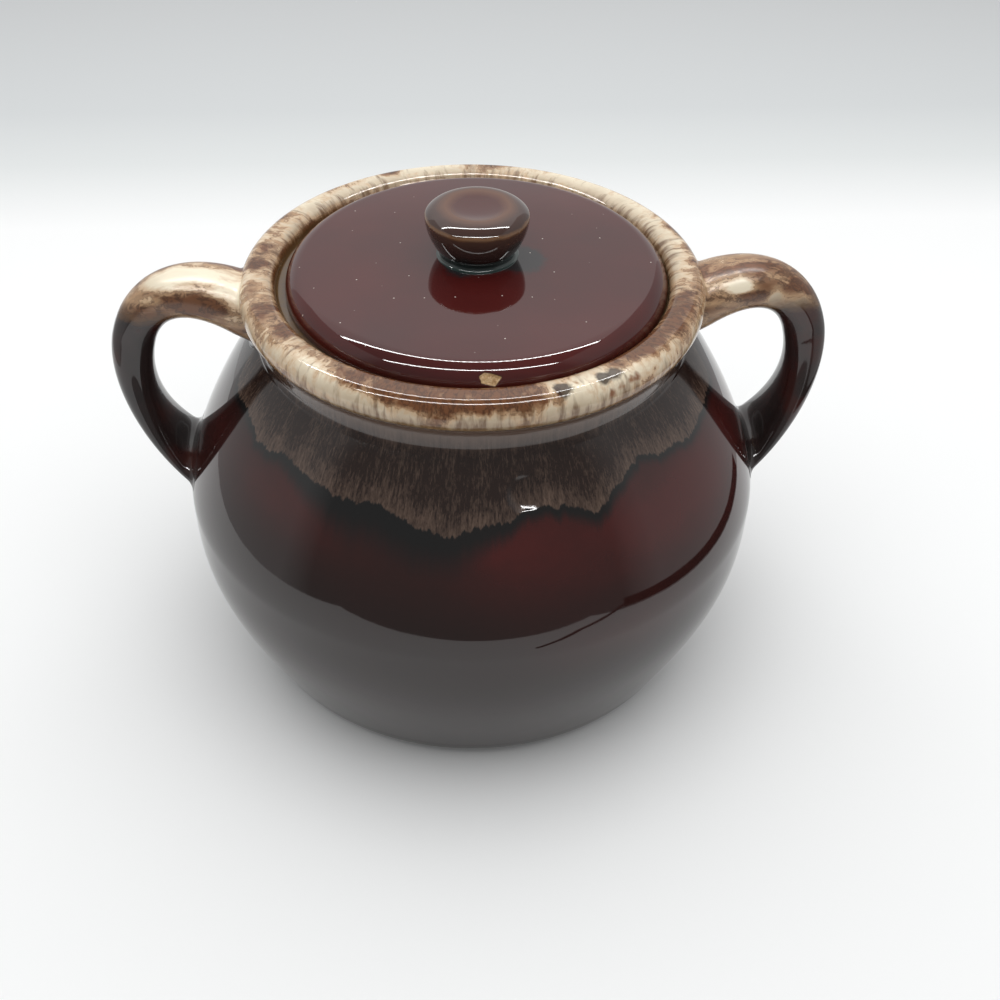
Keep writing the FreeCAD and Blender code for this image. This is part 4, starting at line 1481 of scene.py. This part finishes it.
class BEANPOT_OT_set_stage(bpy.types.Operator):
    """Sets the pale floor, the light tent, the two lamp strips, the world and the camera"""
    bl_idname = "bean_pot.set_stage"
    bl_label = "Set Stage"

    def execute(self, context):
        stage = context.scene.bean_pot_stage
        mesh = bpy.data.meshes.new("floor")
        reach = FLOOR_REACH
        mesh.from_pydata(
            [(-reach, -reach, 0), (reach, -reach, 0), (reach, reach, 0), (-reach, reach, 0)],
            [], [(0, 1, 2, 3)],
        )
        mesh.materials.append(floor_material())
        floor = bpy.data.objects.new("floor", mesh)
        context.scene.collection.objects.link(floor)
        left, right, front, back, top = TENT_LEFT, TENT_RIGHT, TENT_FRONT, TENT_BACK, TENT_TOP
        soft_front = front - TENT_FADE
        glow = stage.wall_glow
        for name, x in (("tent_left", left), ("tent_right", right)):
            reflector(name, [(x, soft_front, 0), (x, back, 0), (x, back, top), (x, soft_front, top)],
                      "Y", ((soft_front, ROOM_GLOW), (front + TENT_FADE, glow)))
        reflector("tent_back", [(left, back, 0), (right, back, 0), (right, back, top), (left, back, top)],
                  "Z", ((BACK_START, BACK_GLOW * glow), (top, CEILING_GLOW * glow)))
        reflector("tent_ceiling", [(left, CEILING_FRONT, top), (right, CEILING_FRONT, top),
                                   (right, back, top), (left, back, top)],
                  "Y", ((CEILING_FRONT, CEILING_GLOW * glow), (back, CEILING_GLOW * glow)))
        for number, y in enumerate(STRIP_PLACES):
            near, far = y - STRIP_WIDTH / 2, y + STRIP_WIDTH / 2
            reflector(f"strip_{number}", [(left, near, STRIP_HEIGHT), (right, near, STRIP_HEIGHT),
                                          (right, far, STRIP_HEIGHT), (left, far, STRIP_HEIGHT)],
                      "X", ((left, stage.strip_glow), (right, stage.strip_glow)), STRIP_PITCH)
        dark = ((0.0, SEAM_GLOW), (1.0, SEAM_GLOW))
        reflector("tent_sill", [(right - SILL_GAP, y, z) for y, z in TENT_SILL], "Y", dark)
        reflector("mat_seam", [(x, y, SEAM_HEIGHT) for x, y in MAT_SEAM], "Y", dark)
        hang_lamp(stage.overhead_glow)
        light_world(stage.fill)
        place_camera()
        context.scene.view_settings.view_transform = "Standard"
        return {"FINISHED"}


# ---------------------------------------------------------------------------------------------
# Panel and registration
# ---------------------------------------------------------------------------------------------

STEPS = (
    BEANPOT_OT_turn_body, BEANPOT_OT_pull_handles, BEANPOT_OT_turn_lid, BEANPOT_OT_turn_knob,
    BEANPOT_OT_set_stage,
)


class BEANPOT_PT_panel(bpy.types.Panel):
    """Lists the pot's settings and steps in the 3D view's sidebar"""
    bl_label = "Bean Pot"
    bl_idname = "BEANPOT_PT_panel"
    bl_space_type = "VIEW_3D"
    bl_region_type = "UI"
    bl_category = "Bean Pot"

    def draw(self, context):
        for name, _ in GROUPS:
            group = getattr(context.scene, name)
            box = self.layout.box()
            for key in group.bl_rna.properties.keys():
                if key not in {"rna_type", "name"}:
                    box.prop(group, key)
        for step in STEPS:
            self.layout.operator(step.bl_idname)


GROUPS = (
    ("bean_pot", PotSizes), ("bean_pot_lid", LidSizes), ("bean_pot_handles", HandleSizes),
    ("bean_pot_glaze", GlazeColours), ("bean_pot_stage", StageSettings),
)
CLASSES = tuple(group for _, group in GROUPS) + STEPS + (BEANPOT_PT_panel,)


def register():
    for item in CLASSES:
        bpy.utils.register_class(item)
    for name, group in GROUPS:
        setattr(bpy.types.Scene, name, bpy.props.PointerProperty(type=group))


def unregister():
    for name, _ in GROUPS:
        delattr(bpy.types.Scene, name)
    for item in reversed(CLASSES):
        bpy.utils.unregister_class(item)


def main():
    register()
    bpy.ops.bean_pot.set_stage()
    bpy.ops.bean_pot.turn_body()
    bpy.ops.bean_pot.pull_handles()
    bpy.ops.bean_pot.turn_lid()
    bpy.ops.bean_pot.turn_knob()


if __name__ == "__main__":
    main()
